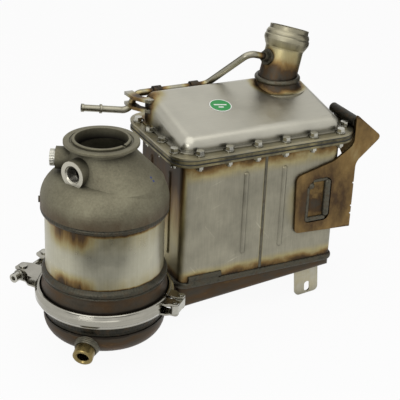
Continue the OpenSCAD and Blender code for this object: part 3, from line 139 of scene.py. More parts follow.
# Heat at which each tint shows on stainless steel, from bare metal at 0
TINTS = {"straw": 0.2, "gold": 0.4, "brown": 0.6, "grey": 0.78, "scale": 1.0}

# The stage, with lengths in metres: the floor, its white share, the greys, the soft boxes and their aims
FLOOR_HALF = 20.0
FLOOR_GAP = 0.0005
FLOOR_WHITE = 0.94
FLOOR_GREY = (0.8, 0.8, 0.8, 1)
FLAG_GREY = (0.25, 0.25, 0.25, 1)
OVERHEAD_PLACE = Vector((-0.15, -0.25, 1.1))
OVERHEAD_AIM = Vector((0.12, 0.03, -0.1))
LEFT_PLACE = Vector((-1.1, -0.9, 0.35))
LEFT_AIM = Vector((0.0, 0.0, -0.1))
# Flags: place right of, ahead of and above the canister's foot, then half of each of their two sides
FLAGS = (
    ("front_flag", (0.15, -0.39, 0.002), (0.5, 0, 0), (0, 0.16, 0)),
    ("right_flag", (0.46, 0.50, 0.3), (0, 0.28, 0), (0, 0, 0.3)),
    ("left_flag", (-0.30, 0.65, 0.3), (0, 0.3, 0), (0, 0, 0.3)),
)


def colour_setting(name, code, description):
    """A colour that a user may change, with an sRGB hex code as its default."""
    return bpy.props.FloatVectorProperty(name=name, description=description, subtype="COLOR",
                                         size=4, min=0, max=1, default=linear(code))


def size_setting(name, default, least, most, description):
    """A size of a pattern in millimetres that a user may change."""
    return bpy.props.FloatProperty(name=name, description=description + ", in mm",
                                   default=default, min=least, max=most)


class FilterUnitColours(bpy.types.PropertyGroup):
    """Colours of the finishes"""

    cast_pale: colour_setting("Casting, pale", "807c67", "Pale patches of the cast housing")
    cast_dark: colour_setting("Casting, dark", "625d4c", "Dark patches of the cast housing")
    machined: colour_setting("Machined face", "bdb9aa", "Freshly cut steel on the sensor boss")
    # Soot colour, also used as painted shade inside the inlet
    soot_and_shade: colour_setting("Soot", "1d1a16", "Inside of the inlet")
    paint_dot: colour_setting("Paint dots", "3a4a8c", "Inspection dots on the casting")
    stainless: colour_setting("Stainless sheet", "b0ad9a", "Bare rolled stainless sheet")
    satin: colour_setting("Satin stainless", "b0ada0", "Clean satin sheet of the lid, clips and tab")
    dull: colour_setting("Dull stainless", "969281", "Weathered sheet of the box, outlet and bracket")
    straw: colour_setting("Straw tint", "a59a72", "First heat tint beside a weld")
    gold: colour_setting("Gold tint", "836b44", "Second heat tint beside a weld")
    brown: colour_setting("Brown tint", "51402e", "Third heat tint beside a weld")
    grey: colour_setting("Grey tint", "4a443b", "Fourth heat tint beside a weld")
    scale: colour_setting("Scale", "322d27", "Dark scale at the edge of a weld")
    weld: colour_setting("Weld metal", "5a574b", "Weld beads")
    polished: colour_setting("Polished stainless", "a19e93", "Clamp halves")
    zinc: colour_setting("Zinc plating", "b3b1a6", "Screws, nuts, pins and plug")
    boss_plating: colour_setting("Boss plating", "86764c", "Straw-coloured plating of the lower boss")
    gasket: colour_setting("Gasket", "343430", "Graphite gasket sheet")
    fibre: colour_setting("Fibre mat", "d9d2bd", "Support mats round the ceramic")
    ceramic: colour_setting("Filter ceramic", "6a6862", "Honeycomb blocks")
    label_green: colour_setting("Label", "0a8f3c", "Ground of the round label")
    label_white: colour_setting("Label rim", "f2f4ee", "Rim and bars of the round label")


class FilterUnitSizes(bpy.types.PropertyGroup):
    """Sizes of the surface patterns, in millimetres"""

    cast_grain: size_setting("Cast grain", 2.2, 0.3, 6, "Size of the sand grain, drawn coarse to show")
    cast_patch: size_setting("Cast patches", 26, 5, 80, "Size of the patches on the casting")
    brush_line: size_setting("Rolling lines", 1.6, 0.3, 6, "Spacing of the lines, drawn coarse to show")
    tint_patch: size_setting("Tint patches", 16, 2, 60, "Size of the patches in a heat tint")
    dull_patch: size_setting("Dull patches", 38, 5, 120, "Size of the dull patches on sheet metal")
    scratch: size_setting("Scratches", 2.4, 0.5, 10, "Spacing of the scratches on sheet metal")
    smudge: size_setting("Smudges", 12, 2, 60, "Size of the smudges on plated metal")
    weld_ripple: size_setting("Weld ripple", 3.4, 1, 10, "Pitch of the ripples in a weld bead")
    weld_patch: size_setting("Weld patches", 7, 1, 30, "Size of the patches in a weld bead")
    felt: size_setting("Felt", 1.8, 0.3, 6, "Size of the grain of pressed sheet, drawn coarse to show")
    cell_pitch: size_setting("Honeycomb pitch", 1.5, 0.8, 4, "Pitch of the cells in the ceramic")
    cell_wall: size_setting("Honeycomb walls", 0.16, 0.05, 0.5, "Thickness of the walls in the ceramic")
    paper_grain: size_setting("Paper grain", 1.25, 0.3, 6, "Size of the label's grain, drawn coarse to show")


class FilterUnitStage(bpy.types.PropertyGroup):
    """Camera and light"""

    camera_place: bpy.props.FloatVectorProperty(
        name="Camera", description="Place of the camera in the part's frame", subtype="TRANSLATION",
        unit="LENGTH", default=(-0.4091, -1.0134, 0.4558))
    heading: bpy.props.FloatProperty(
        name="Heading", description="Turn of the view from +Y towards +X", subtype="ANGLE",
        default=math.radians(27.45))
    tilt: bpy.props.FloatProperty(
        name="Tilt", description="Downward tilt of the view", subtype="ANGLE", default=math.radians(25.54))
    roll: bpy.props.FloatProperty(
        name="Roll", description="Roll of the camera", subtype="ANGLE", default=math.radians(2.48))
    lens: bpy.props.FloatProperty(
        name="Lens", description="Focal length on a 36 mm sensor", subtype="DISTANCE_CAMERA", default=102.75)
    key_power: bpy.props.FloatProperty(
        name="Overhead light", description="Power of the overhead soft box", unit="POWER", default=9)
    key_width: bpy.props.FloatProperty(
        name="Overhead width", description="Width of the overhead soft box", unit="LENGTH", default=1.7)
    side_power: bpy.props.FloatProperty(
        name="Side light", description="Power of the soft box at the left", unit="POWER", default=4)
    side_width: bpy.props.FloatProperty(
        name="Side width", description="Width of the soft box at the left", unit="LENGTH", default=0.5)
    ambient: bpy.props.FloatProperty(
        name="Ambient", description="Level of the light from all round", default=0.4, min=0, max=2)


def colours():
    """The colour settings."""
    return bpy.context.scene.filter_unit_colours


def sizes():
    """The pattern settings."""
    return bpy.context.scene.filter_unit_sizes


def add(tree, kind, inputs=None, stops=(), **settings):
    """Adds one shader node with its settings, values, links and, on a ramp, its stops.

    Inputs go by name or number. A Mix node's 6 and 7 are its two colours, its 2 and 3 are two numbers.
    """
    made = tree.nodes.new("ShaderNode" + kind)
    for name, value in settings.items():
        setattr(made, name, value)
    for name, value in (inputs or {}).items():
        if isinstance(value, bpy.types.NodeSocket):
            tree.links.new(value, made.inputs[name])
        else:
            made.inputs[name].default_value = value
    for i, (place, colour) in enumerate(stops):
        stop = made.color_ramp.elements[i] if i < 2 else made.color_ramp.elements.new(place)
        stop.position = place
        stop.color = colour
    return made


def start(name):
    """A new material: its node tree, its shader and the place on the part in millimetres."""
    material = bpy.data.materials.new(name)
    material.use_nodes = True
    tree = material.node_tree
    local = add(tree, "TexCoord").outputs["Object"]
    place = add(tree, "VectorMath", {0: local, "Scale": MM}, operation="SCALE").outputs[0]
    return material, tree, tree.nodes["Principled BSDF"], place


def near(tree, value, level, reach, peak=1.0):
    """A peak where a value is at a level, fading to 0 as it gets that far away."""
    gap = add(tree, "Math", {0: value, 1: level}, operation="SUBTRACT").outputs[0]
    size = add(tree, "Math", {0: gap}, operation="ABSOLUTE").outputs[0]
    return add(tree, "MapRange", {"Value": size, "From Max": reach, "To Min": peak, "To Max": 0},
               interpolation_type="SMOOTHSTEP").outputs[0]


def near_spot(tree, place, spot, reach, peak=1.0):
    """A peak at a point of the part, fading to 0 as far away as the reach."""
    gap = add(tree, "VectorMath", {0: place, 1: spot}, operation="DISTANCE").outputs["Value"]
    return near(tree, gap, 0.0, reach, peak)


def hottest(tree, *heats):
    """The highest of several heats."""
    result = heats[0]
    for heat in heats[1:]:
        result = add(tree, "Math", {0: result, 1: heat}, operation="MAXIMUM").outputs[0]
    return result


def patchy(tree, heat, place, stretch, amount):
    """A heat with uneven edges, its patches stretched along the given directions."""
    spread = add(tree, "VectorMath", {0: place, 1: stretch}, operation="MULTIPLY").outputs[0]
    noise = add(tree, "TexNoise", {"Vector": spread, "Scale": 1 / sizes().tint_patch, "Detail": 5,
                                   "Roughness": 0.62}).outputs["Fac"]
    level = add(tree, "MapRange", {"Value": noise, "From Min": 0.3, "From Max": 0.7,
                                   "To Min": 1 - amount, "To Max": 1 + amount}).outputs[0]
    return add(tree, "Math", {0: heat, 1: level}, operation="MULTIPLY", use_clamp=True).outputs[0]


def painted_shade(tree, colour, reach=9.0, depth=0.4):
    """A colour darkened in corners and joints, where the light is sheltered: painted shade."""
    shelter = add(tree, "AmbientOcclusion", {"Distance": reach / MM}, samples=6).outputs["AO"]
    level = add(tree, "MapRange", {"Value": shelter, "From Min": 0.3, "From Max": 0.95,
                                   "To Min": depth, "To Max": 1.0}).outputs[0]
    return add(tree, "VectorMath", {0: colour, "Scale": level}, operation="SCALE").outputs[0]


def relief(tree, shader, height, strength, depth, edge=0.5):
    """Bump of a given depth on edges that are broken by a small radius, both in mm."""
    broken = add(tree, "Bevel", {"Radius": edge / MM}, samples=4).outputs[0]
    bump = add(tree, "Bump", {"Height": height, "Strength": strength, "Distance": depth / MM,
                              "Normal": broken}).outputs[0]
    tree.links.new(bump, shader.inputs["Normal"])


def scratches(tree, place, angle):
    """Thin scratches that all lie in one direction."""
    turned = add(tree, "VectorRotate", {"Vector": place, "Angle": angle}, rotation_type="Y_AXIS").outputs[0]
    drawn = add(tree, "VectorMath", {0: turned, 1: SCRATCH_STRETCH}, operation="MULTIPLY").outputs[0]
    noise = add(tree, "TexNoise", {"Vector": drawn, "Scale": 1 / sizes().scratch, "Detail": 1}).outputs["Fac"]
    return add(tree, "MapRange", {"Value": noise, "From Min": 0.7, "From Max": 0.8}).outputs[0]


def tinted(tree, heat, bare):
    """Colours of stainless steel as it was heated: bare, straw, gold, brown, grey, scale."""
    stops = [(0.0, bare)] + [(level, getattr(colours(), name)) for name, level in TINTS.items()]
    return add(tree, "ValToRGB", {"Fac": heat}, stops).outputs["Color"]


def sheet(name, bare, heat_of, lines, rough=0.36, wear=1.0, shade_reach=11.0):
    """Rolled stainless sheet: faint lines along one direction, dull patches, scratches and heat tints."""
    material, tree, shader, place = start(name)
    stretched = add(tree, "VectorMath", {0: place, 1: lines}, operation="MULTIPLY").outputs[0]
    grain = add(tree, "TexNoise", {"Vector": stretched, "Scale": 1 / sizes().brush_line,
                                   "Detail": 3}).outputs["Fac"]
    cloud = add(tree, "TexNoise", {"Vector": place, "Scale": 1 / sizes().dull_patch, "Detail": 7,
                                   "Roughness": 0.62}).outputs["Fac"]
    heat = heat_of(tree, place)
    tint = tinted(tree, heat, bare)
    shade = add(tree, "MapRange", {"Value": grain, "From Min": 0.25, "From Max": 0.75,
                                   "To Min": 1 - 0.07 * wear, "To Max": 1 + 0.04 * wear}).outputs[0]
    dull = add(tree, "MapRange", {"Value": cloud, "From Min": 0.3, "From Max": 0.7,
                                  "To Min": 1 - 0.2 * wear, "To Max": 1 + 0.1 * wear}).outputs[0]
    level = add(tree, "Math", {0: shade, 1: dull}, operation="MULTIPLY").outputs[0]
    # Two directions of scratches, where the sheet is rubbed
    marks = hottest(tree, *[scratches(tree, place, angle) for angle in SCRATCH_ANGLES])
    rubbed = add(tree, "MapRange", {"Value": cloud, "From Min": 0.5, "From Max": 0.62,
                                    "To Max": 0.3 * wear * wear}).outputs[0]
    marked = add(tree, "Math", {0: marks, 1: rubbed, 2: level}, operation="MULTIPLY_ADD").outputs[0]
    colour = add(tree, "VectorMath", {0: tint, "Scale": marked}, operation="SCALE").outputs[0]
    # Painted shade darkens the colour in corners and joints
    tree.links.new(painted_shade(tree, colour, shade_reach), shader.inputs["Base Color"])
    shader.inputs["Metallic"].default_value = 1.0
    # Rubbed patches are rougher, and so is tinted metal
    worn = add(tree, "MapRange", {"Value": cloud, "From Min": 0.3, "From Max": 0.7,
                                  "To Min": rough - 0.06, "To Max": rough + 0.1}).outputs[0]
    oxidised = add(tree, "Math", {0: heat, 1: 0.18, 2: worn}, operation="MULTIPLY_ADD").outputs[0]
    tree.links.new(oxidised, shader.inputs["Roughness"])
    relief(tree, shader, grain, strength=0.12, depth=0.3)
    return material


def sensor_boss(tree, place):
    """The upper sensor boss: distance along its hole, its cut surfaces and its threaded wall."""
    axis = Vector(SENSOR["axis"])
    root = Vector((0, 0, SENSOR["pos_m"][2] * MM))
    offset = add(tree, "VectorMath", {0: place, 1: root}, operation="SUBTRACT").outputs[0]
    along = add(tree, "VectorMath", {0: offset, 1: axis}, operation="DOT_PRODUCT").outputs["Value"]
    across = add(tree, "VectorMath", {0: offset, 1: axis}, operation="CROSS_PRODUCT").outputs[0]
    off_axis = add(tree, "VectorMath", {0: across}, operation="LENGTH").outputs["Value"]
    on_boss = add(tree, "Math", {0: off_axis, 1: SENSOR_BOSS}, operation="LESS_THAN").outputs[0]
    outer = add(tree, "Math", {0: along, 1: SENSOR_REACH, 2: SENSOR_SKIN}, operation="COMPARE").outputs[0]
    face = add(tree, "Math", {0: on_boss, 1: outer}, operation="MULTIPLY").outputs[0]
    in_hole = add(tree, "Math", {0: off_axis, 1: THREAD_WALL}, operation="LESS_THAN").outputs[0]
    forward = add(tree, "Math", {0: along, 1: THREAD_START}, operation="GREATER_THAN").outputs[0]
    thread = add(tree, "Math", {0: in_hole, 1: forward}, operation="MULTIPLY").outputs[0]
    return along, hottest(tree, face, thread), thread


def inlet_soot_and_shade(tree, place):
    """How dark the casting is in the inlet's bore: soot with painted shade, deepening down the bore."""
    parts = add(tree, "SeparateXYZ", {0: place})
    flat = add(tree, "CombineXYZ", {0: parts.outputs["X"], 1: parts.outputs["Y"]}).outputs[0]
    radius = add(tree, "VectorMath", {0: flat}, operation="LENGTH").outputs["Value"]
    in_bore = add(tree, "MapRange", {"Value": radius, "From Min": BORE_RADIUS,
                                     "From Max": BORE_RADIUS + SOOT_SHADE_EDGE,
                                     "To Min": 1, "To Max": 0}).outputs[0]
    below = add(tree, "MapRange", {"Value": parts.outputs["Z"], "From Min": SOOT_SHADE_START,
                                   "From Max": SOOT_SHADE_FULL}).outputs[0]
    return add(tree, "Math", {0: in_bore, 1: below}, operation="MULTIPLY").outputs[0]


def cast_steel():
    """As-cast steel from a sand mould: matte olive grey, fine grain, cut faces at the sensor boss."""
    c = colours()
    material, tree, shader, place = start("as_cast_steel")
    grain = add(tree, "TexNoise", {"Vector": place, "Scale": 1 / sizes().cast_grain, "Detail": 6,
                                   "Roughness": 0.7}).outputs["Fac"]
    cloud = add(tree, "TexNoise", {"Vector": place, "Scale": 1 / sizes().cast_patch, "Detail": 5,
                                   "Roughness": 0.6}).outputs["Fac"]
    total = add(tree, "Math", {0: cloud, 1: grain}, operation="ADD").outputs[0]
    mean = add(tree, "Math", {0: total, 1: 0.5}, operation="MULTIPLY").outputs[0]
    skin = add(tree, "ValToRGB", {"Fac": mean}, [(0.34, c.cast_dark), (0.64, c.cast_pale)]).outputs["Color"]
    # Brown heat tint just above the bead
    height = add(tree, "SeparateXYZ", {0: place}).outputs["Z"]
    hot = near(tree, height, high("upper_weld").z, reach=20)
    uneven = patchy(tree, hot, place, stretch=(1.0, 1.0, 0.4), amount=0.6)
    share = add(tree, "Math", {0: uneven, 1: 0.7}, operation="MULTIPLY").outputs[0]
    browned = add(tree, "Mix", {"Factor": share, 6: skin, 7: c.brown}, data_type="RGBA").outputs[2]
    # Soot with painted shade in the bore, bare metal on the cut surfaces and the inspection dots
    soot_and_shade = inlet_soot_and_shade(tree, place)
    dark = add(tree, "Mix", {"Factor": soot_and_shade, 6: browned, 7: c.soot_and_shade}, data_type="RGBA").outputs[2]
    along, cut, thread = sensor_boss(tree, place)
    bright = add(tree, "Mix", {"Factor": cut, 6: dark, 7: c.machined}, data_type="RGBA").outputs[2]
    dots = hottest(tree, *[near_spot(tree, place, spot, DOT_RADIUS) for spot in PAINT_DOTS])
    paint = add(tree, "Math", {0: dots, 1: 1.6}, operation="MULTIPLY", use_clamp=True).outputs[0]
    final = add(tree, "Mix", {"Factor": paint, 6: bright, 7: c.paint_dot}, data_type="RGBA").outputs[2]
    # Painted shade darkens the casting in its corners, neck and joints
    tree.links.new(painted_shade(tree, final, reach=26.0, depth=0.3), shader.inputs["Base Color"])
    shader.inputs["Metallic"].default_value = 0.75
    rough = add(tree, "MapRange", {"Value": cut, "To Min": 0.58, "To Max": 0.26}).outputs[0]
    tree.links.new(rough, shader.inputs["Roughness"])
    # Sand grain on the skin and thread ridges in the hole
    turns = add(tree, "Math", {0: along, 1: 2 * math.pi / THREAD_PITCH}, operation="MULTIPLY").outputs[0]
    wave = add(tree, "Math", {0: turns}, operation="SINE").outputs[0]
    ridge = add(tree, "Math", {0: wave, 1: thread}, operation="MULTIPLY").outputs[0]
    surface = add(tree, "Mix", {"Factor": cut, 2: grain, 3: ridge}).outputs[0]
    relief(tree, shader, surface, strength=0.25, depth=0.5, edge=0.7)
    return material


def weld_metal(name, along_of, tone=1.0):
    """A weld bead laid in steps: dark grey metal with ripples across the bead and brown patches."""
    c = colours()
    material, tree, shader, place = start(name)
    noise = add(tree, "TexNoise", {"Vector": place, "Scale": 1 / sizes().weld_patch, "Detail": 5,
                                   "Roughness": 0.6}).outputs["Fac"]
    rate = 2 * math.pi / sizes().weld_ripple
    turned = add(tree, "Math", {0: along_of(tree, place), 1: rate}, operation="MULTIPLY").outputs[0]
    swayed = add(tree, "Math", {0: noise, 1: 5.0, 2: turned}, operation="MULTIPLY_ADD").outputs[0]
    wave = add(tree, "Math", {0: swayed}, operation="SINE").outputs[0]
    pale = tuple(v * tone for v in c.weld[:3]) + (1.0,)
    dark = tuple(v * tone * 0.55 for v in c.weld[:3]) + (1.0,)
    stops = [(0.3, dark), (0.5, pale), (0.8, c.brown)]
    colour = add(tree, "ValToRGB", {"Fac": noise}, stops).outputs["Color"]
    # Painted shade darkens the bead where it meets the parts
    tree.links.new(painted_shade(tree, colour), shader.inputs["Base Color"])
    shader.inputs["Metallic"].default_value = 0.9
    rough = add(tree, "MapRange", {"Value": noise, "From Min": 0.3, "From Max": 0.7,
                                   "To Min": 0.34, "To Max": 0.6}).outputs[0]
    tree.links.new(rough, shader.inputs["Roughness"])
    surface = add(tree, "Math", {0: noise, 1: 1.2, 2: wave}, operation="MULTIPLY_ADD").outputs[0]
    relief(tree, shader, surface, strength=0.18, depth=0.4)
    return material


def plain_metal(name, colour, rough, lines=(1, 1, 1), grain=0.1):
    """Plated or polished metal: one colour with faint lines and smudges, and glints where it is smooth."""
    material, tree, shader, place = start(name)
    stretched = add(tree, "VectorMath", {0: place, 1: lines}, operation="MULTIPLY").outputs[0]
    line = add(tree, "TexNoise", {"Vector": stretched, "Scale": 1 / sizes().brush_line,
                                  "Detail": 4}).outputs["Fac"]
    smudge = add(tree, "TexNoise", {"Vector": place, "Scale": 1 / sizes().smudge, "Detail": 4}).outputs["Fac"]
    both = add(tree, "Math", {0: line, 1: smudge}, operation="ADD").outputs[0]
    level = add(tree, "MapRange", {"Value": both, "From Min": 0.7, "From Max": 1.3,
                                   "To Min": 0.86, "To Max": 1.05}).outputs[0]
    final = add(tree, "VectorMath", {0: colour[:3], "Scale": level}, operation="SCALE").outputs[0]
    # Painted shade darkens the colour in corners and joints
    tree.links.new(painted_shade(tree, final, reach=3.0), shader.inputs["Base Color"])
    shader.inputs["Metallic"].default_value = 1.0
    worn = add(tree, "MapRange", {"Value": smudge, "From Min": 0.3, "From Max": 0.7,
                                  "To Min": rough * 0.8, "To Max": rough * 1.3}).outputs[0]
    tree.links.new(worn, shader.inputs["Roughness"])
    relief(tree, shader, line, strength=grain, depth=0.2)
    return material


def fibre_sheet(name, colour, rough):
    """Pressed fibre or graphite sheet: dull, with a fine felted grain."""
    material, tree, shader, place = start(name)
    felt = add(tree, "TexNoise", {"Vector": place, "Scale": 1 / sizes().felt, "Detail": 6,
                                  "Roughness": 0.75}).outputs["Fac"]
    level = add(tree, "MapRange", {"Value": felt, "From Min": 0.25, "From Max": 0.75,
                                   "To Min": 0.7, "To Max": 1.15}).outputs[0]
    final = add(tree, "VectorMath", {0: colour[:3], "Scale": level}, operation="SCALE").outputs[0]
    tree.links.new(final, shader.inputs["Base Color"])
    shader.inputs["Roughness"].default_value = rough
    bump = add(tree, "Bump", {"Height": felt, "Strength": 0.4, "Distance": 0.4 / MM}).outputs[0]
    tree.links.new(bump, shader.inputs["Normal"])
    return material


def honeycomb(name):
    """Extruded ceramic: square cells in a grid, with thin pale walls; the cells are drawn near black as
    painted shade in their openings.
    """
    material, tree, shader, place = start(name)
    pitch = sizes().cell_pitch
    # Near black cells: painted shade inside the open cells
    grid = add(tree, "TexBrick", {"Vector": place, "Scale": 1.0, "Color1": (0.02, 0.02, 0.02, 1),
                                  "Color2": (0.03, 0.03, 0.03, 1), "Mortar": colours().ceramic,
                                  "Brick Width": pitch, "Row Height": pitch,
                                  "Mortar Size": sizes().cell_wall}, offset=0.0)
    tree.links.new(grid.outputs["Color"], shader.inputs["Base Color"])
    shader.inputs["Roughness"].default_value = 0.85
    bump = add(tree, "Bump", {"Height": grid.outputs["Fac"], "Strength": 0.4,
                              "Distance": 0.5 / MM}).outputs[0]
    tree.links.new(bump, shader.inputs["Normal"])
    return material


def label_film():
    """Printed paper label: green ground, white rim and two plain bars, with the soft gloss of a film."""
    c = colours()
    material, tree, shader, place = start("printed_paper_label")
    radius = (high("sticker").x - low("sticker").x) / 2
    offset = add(tree, "VectorMath", {0: place, 1: middle("sticker")}, operation="SUBTRACT").outputs[0]
    distance = add(tree, "VectorMath", {0: offset}, operation="LENGTH").outputs["Value"]
    across = add(tree, "VectorMath", {0: offset, 1: LABEL_ACROSS}, operation="DOT_PRODUCT").outputs["Value"]
    upward = add(tree, "VectorMath", {0: offset, 1: LABEL_UP}, operation="DOT_PRODUCT").outputs["Value"]
    rim = add(tree, "Math", {0: distance, 1: radius - LABEL_RIM}, operation="GREATER_THAN").outputs[0]
    bars = []
    for level, half in LABEL_BARS:
        row = add(tree, "Math", {0: upward, 1: level, 2: BAR_HALF_HEIGHT}, operation="COMPARE").outputs[0]
        span = add(tree, "Math", {0: across, 1: 0.0, 2: half}, operation="COMPARE").outputs[0]
        bars.append(add(tree, "Math", {0: row, 1: span}, operation="MULTIPLY").outputs[0])
    white = hottest(tree, rim, *bars)
    printed = add(tree, "Mix", {"Factor": white, 6: c.label_green, 7: c.label_white}, data_type="RGBA")
    tree.links.new(printed.outputs[2], shader.inputs["Base Color"])
    paper = add(tree, "TexNoise", {"Vector": place, "Scale": 1 / sizes().paper_grain,
                                   "Detail": 4}).outputs["Fac"]
    rough = add(tree, "MapRange", {"Value": paper, "To Min": 0.3, "To Max": 0.5}).outputs[0]
    tree.links.new(rough, shader.inputs["Roughness"])
    bump = add(tree, "Bump", {"Height": paper, "Strength": 0.05, "Distance": 0.1 / MM}).outputs[0]
    tree.links.new(bump, shader.inputs["Normal"])
    return material


def round_can(tree, place):
    """Length along a ring weld, from the angle round the canister."""
    offset = add(tree, "VectorMath", {0: place, 1: CAN_AXIS}, operation="SUBTRACT").outputs[0]
    parts = add(tree, "SeparateXYZ", {0: offset})
    angle = add(tree, "Math", {0: parts.outputs["Y"], 1: parts.outputs["X"]}, operation="ARCTAN2").outputs[0]
    return add(tree, "Math", {0: angle, 1: CAN_RADIUS}, operation="MULTIPLY").outputs[0]


def along_box(tree, place):
    """Length along the straight welds of the box."""
    parts = add(tree, "SeparateXYZ", {0: place})
    level = add(tree, "Math", {0: parts.outputs["X"], 1: parts.outputs["Y"]}, operation="ADD").outputs[0]
    return add(tree, "Math", {0: level, 1: parts.outputs["Z"]}, operation="ADD").outputs[0]


def canister_heat(tree, place):
    """Tint below the upper bead and above the lower one, strongest on the left front."""
    height = add(tree, "SeparateXYZ", {0: place}).outputs["Z"]
    offset = add(tree, "VectorMath", {0: place, 1: CAN_AXIS}, operation="SUBTRACT").outputs[0]
    front_left = Vector((math.cos(HOT_SIDE), math.sin(HOT_SIDE), 0)) / CAN_RADIUS
    facing = add(tree, "VectorMath", {0: offset, 1: front_left}, operation="DOT_PRODUCT").outputs["Value"]
    side = add(tree, "MapRange", {"Value": facing, "From Min": 0.86, "From Max": 0.99, "To Min": 0.12,
                                  "To Max": 0.54}, interpolation_type="SMOOTHSTEP").outputs[0]
    band = hottest(tree, near(tree, height, CAN_TOP, reach=30), near(tree, height, CAN_FOOT, reach=20))
    wide = add(tree, "Math", {0: band, 1: side}, operation="MULTIPLY").outputs[0]
    top_edge = near(tree, height, CAN_TOP, reach=5, peak=0.55)
    foot_edge = near(tree, height, CAN_FOOT, reach=3, peak=0.55)
    heat = hottest(tree, wide, top_edge, foot_edge)
    return patchy(tree, heat, place, stretch=(1.3, 1.3, 0.16), amount=0.5)


def box_heat(tree, place):
    """Tint along the foot, under the flange, at the seams and the bracket's window, and a dark tint with
    painted shade up the left wall.
    """
    parts = add(tree, "SeparateXYZ", {0: place})
    height = parts.outputs["Z"]
    foot = near(tree, height, BOX_LOW.z, reach=22, peak=0.68)
    top = near(tree, height, BOX_HIGH.z, reach=30, peak=0.6)
    seam = near(tree, parts.outputs["X"], SEAM_X, reach=3, peak=0.6)
    window = near_spot(tree, place, middle("bracket_weld"), reach=48, peak=0.68)
    heat = hottest(tree, foot, window, seam, top)
    # The left wall darkens upward: heat tint with painted shade
    wall = near(tree, parts.outputs["X"], BOX_LOW.x, reach=9)
    upward = add(tree, "MapRange", {"Value": height, "From Min": BOX_HIGH.z - WALL_TINT_SHADE_START,
                                    "From Max": BOX_HIGH.z - WALL_TINT_SHADE_FULL,
                                    "To Min": 0.16, "To Max": 0.8}).outputs[0]
    wall_tint_and_shade = add(tree, "Math", {0: wall, 1: upward}, operation="MULTIPLY").outputs[0]
    return hottest(tree, patchy(tree, heat, place, stretch=(0.45, 0.45, 0.5), amount=0.6),
                   patchy(tree, wall_tint_and_shade, place, stretch=(1.0, 1.0, 0.2), amount=0.2))


def lid_heat(tree, place):
    """Tint round the outlet collar, at the rear left corner and behind the tube's clip."""
    gap = add(tree, "VectorMath", {0: place, 1: OUTLET_ROOT}, operation="DISTANCE").outputs["Value"]
    collar = add(tree, "MapRange", {"Value": gap, "From Min": 25, "From Max": 40, "To Min": 0.62,
                                    "To Max": 0}, interpolation_type="SMOOTHSTEP").outputs[0]
    corner = near_spot(tree, place, LID_CORNER, reach=34)
    clip = near_spot(tree, place, LID_CLIP, reach=20)
    return patchy(tree, hottest(tree, collar, corner, clip), place, stretch=(1.0, 1.0, 1.0), amount=0.45)


def outlet_heat(tree, place):
    """Brown tint at the ring weld, scale at the tube's boss, gold up the pipe, almost bare at the mouth."""
    offset = add(tree, "VectorMath", {0: place, 1: OUTLET_ROOT}, operation="SUBTRACT").outputs[0]
    along = add(tree, "VectorMath", {0: offset, 1: OUTLET_AXIS}, operation="DOT_PRODUCT").outputs["Value"]
    foot = add(tree, "MapRange", {"Value": along, "From Min": 6, "From Max": 26, "To Min": 0.68,
                                  "To Max": 0.2}, interpolation_type="SMOOTHSTEP").outputs[0]
    mouth = add(tree, "MapRange", {"Value": along, "From Min": 26, "From Max": 46, "To Min": 1.0,
                                   "To Max": 0.2}, interpolation_type="SMOOTHSTEP").outputs[0]
    pipe = add(tree, "Math", {0: foot, 1: mouth}, operation="MULTIPLY").outputs[0]
    boss = near_spot(tree, place, middle("tube_boss"), reach=18)
    return patchy(tree, hottest(tree, pipe, boss), place, stretch=(1.0, 1.0, 0.6), amount=0.35)


def tube_heat(tree, place):
    """Tint of the pressure tube at its boss, clips and strap."""
    inset = Vector((5, 5, 4))
    clips_low = low("tube_clips") + inset
    clips_high = high("tube_clips") - inset
    spots = [middle("tube_boss"), middle("tube_strap"), clips_high,
             Vector((clips_low.x, clips_high.y, clips_high.z))]
    heats = [near_spot(tree, place, spot, reach=20) for spot in spots]
    return patchy(tree, hottest(tree, *heats), place, stretch=(1.0, 1.0, 1.0), amount=0.4)


def tray_heat(tree, place):
    """Brown heat tint all over the tray, darkest along its rim."""
    height = add(tree, "SeparateXYZ", {0: place}).outputs["Z"]
    rim = near(tree, height, high("collector_tray").z, reach=9)
    return patchy(tree, hottest(tree, rim, 0.68), place, stretch=(0.5, 0.5, 1.6), amount=0.22)


def flare_heat(tree, place):
    """Brown tint of the clamp rim, with painted shadow in the groove beside the clamp."""
    height = add(tree, "SeparateXYZ", {0: place}).outputs["Z"]
    # Painted shadow: the rim turns to dark scale in the groove beside the clamp
    groove_shade = near(tree, height, high("clamp_half_front").z, reach=6)
    return patchy(tree, hottest(tree, groove_shade, 0.7), place, stretch=(0.5, 0.5, 1.0), amount=0.2)


def bracket_heat(tree, place):
    """Gold to rust tint of the bracket, darkest round its welded window and along its edges."""
    centre = middle("bracket_weld")
    gap = add(tree, "VectorMath", {0: place, 1: centre}, operation="DISTANCE").outputs["Value"]
    window = add(tree, "MapRange", {"Value": gap, "From Min": 14, "From Max": 60, "To Min": 0.62,
                                    "To Max": 0.42}, interpolation_type="SMOOTHSTEP").outputs[0]
    parts = add(tree, "SeparateXYZ", {0: place})
    foot = near(tree, parts.outputs["Z"], low("bracket_plate").z, reach=10, peak=0.55)
    left = near(tree, parts.outputs["X"], low("bracket_plate").x, reach=9, peak=0.55)
    top = near(tree, parts.outputs["Z"], high("bracket_plate").z, reach=14, peak=0.55)
    heat = hottest(tree, window, foot, left, top)
    return patchy(tree, heat, place, stretch=(0.8, 0.8, 0.4), amount=0.26)


def trace_heat(tree, place):
    """A trace of straw tint in patches, a little stronger higher up."""
    height = add(tree, "SeparateXYZ", {0: place}).outputs["Z"]
    trace = add(tree, "MapRange", {"Value": height, "From Min": TRACE_LOW, "From Max": TRACE_HIGH,
                                   "To Min": 0.06, "To Max": 0.1}).outputs[0]
    return patchy(tree, trace, place, stretch=(1.0, 1.0, 1.0), amount=0.9)


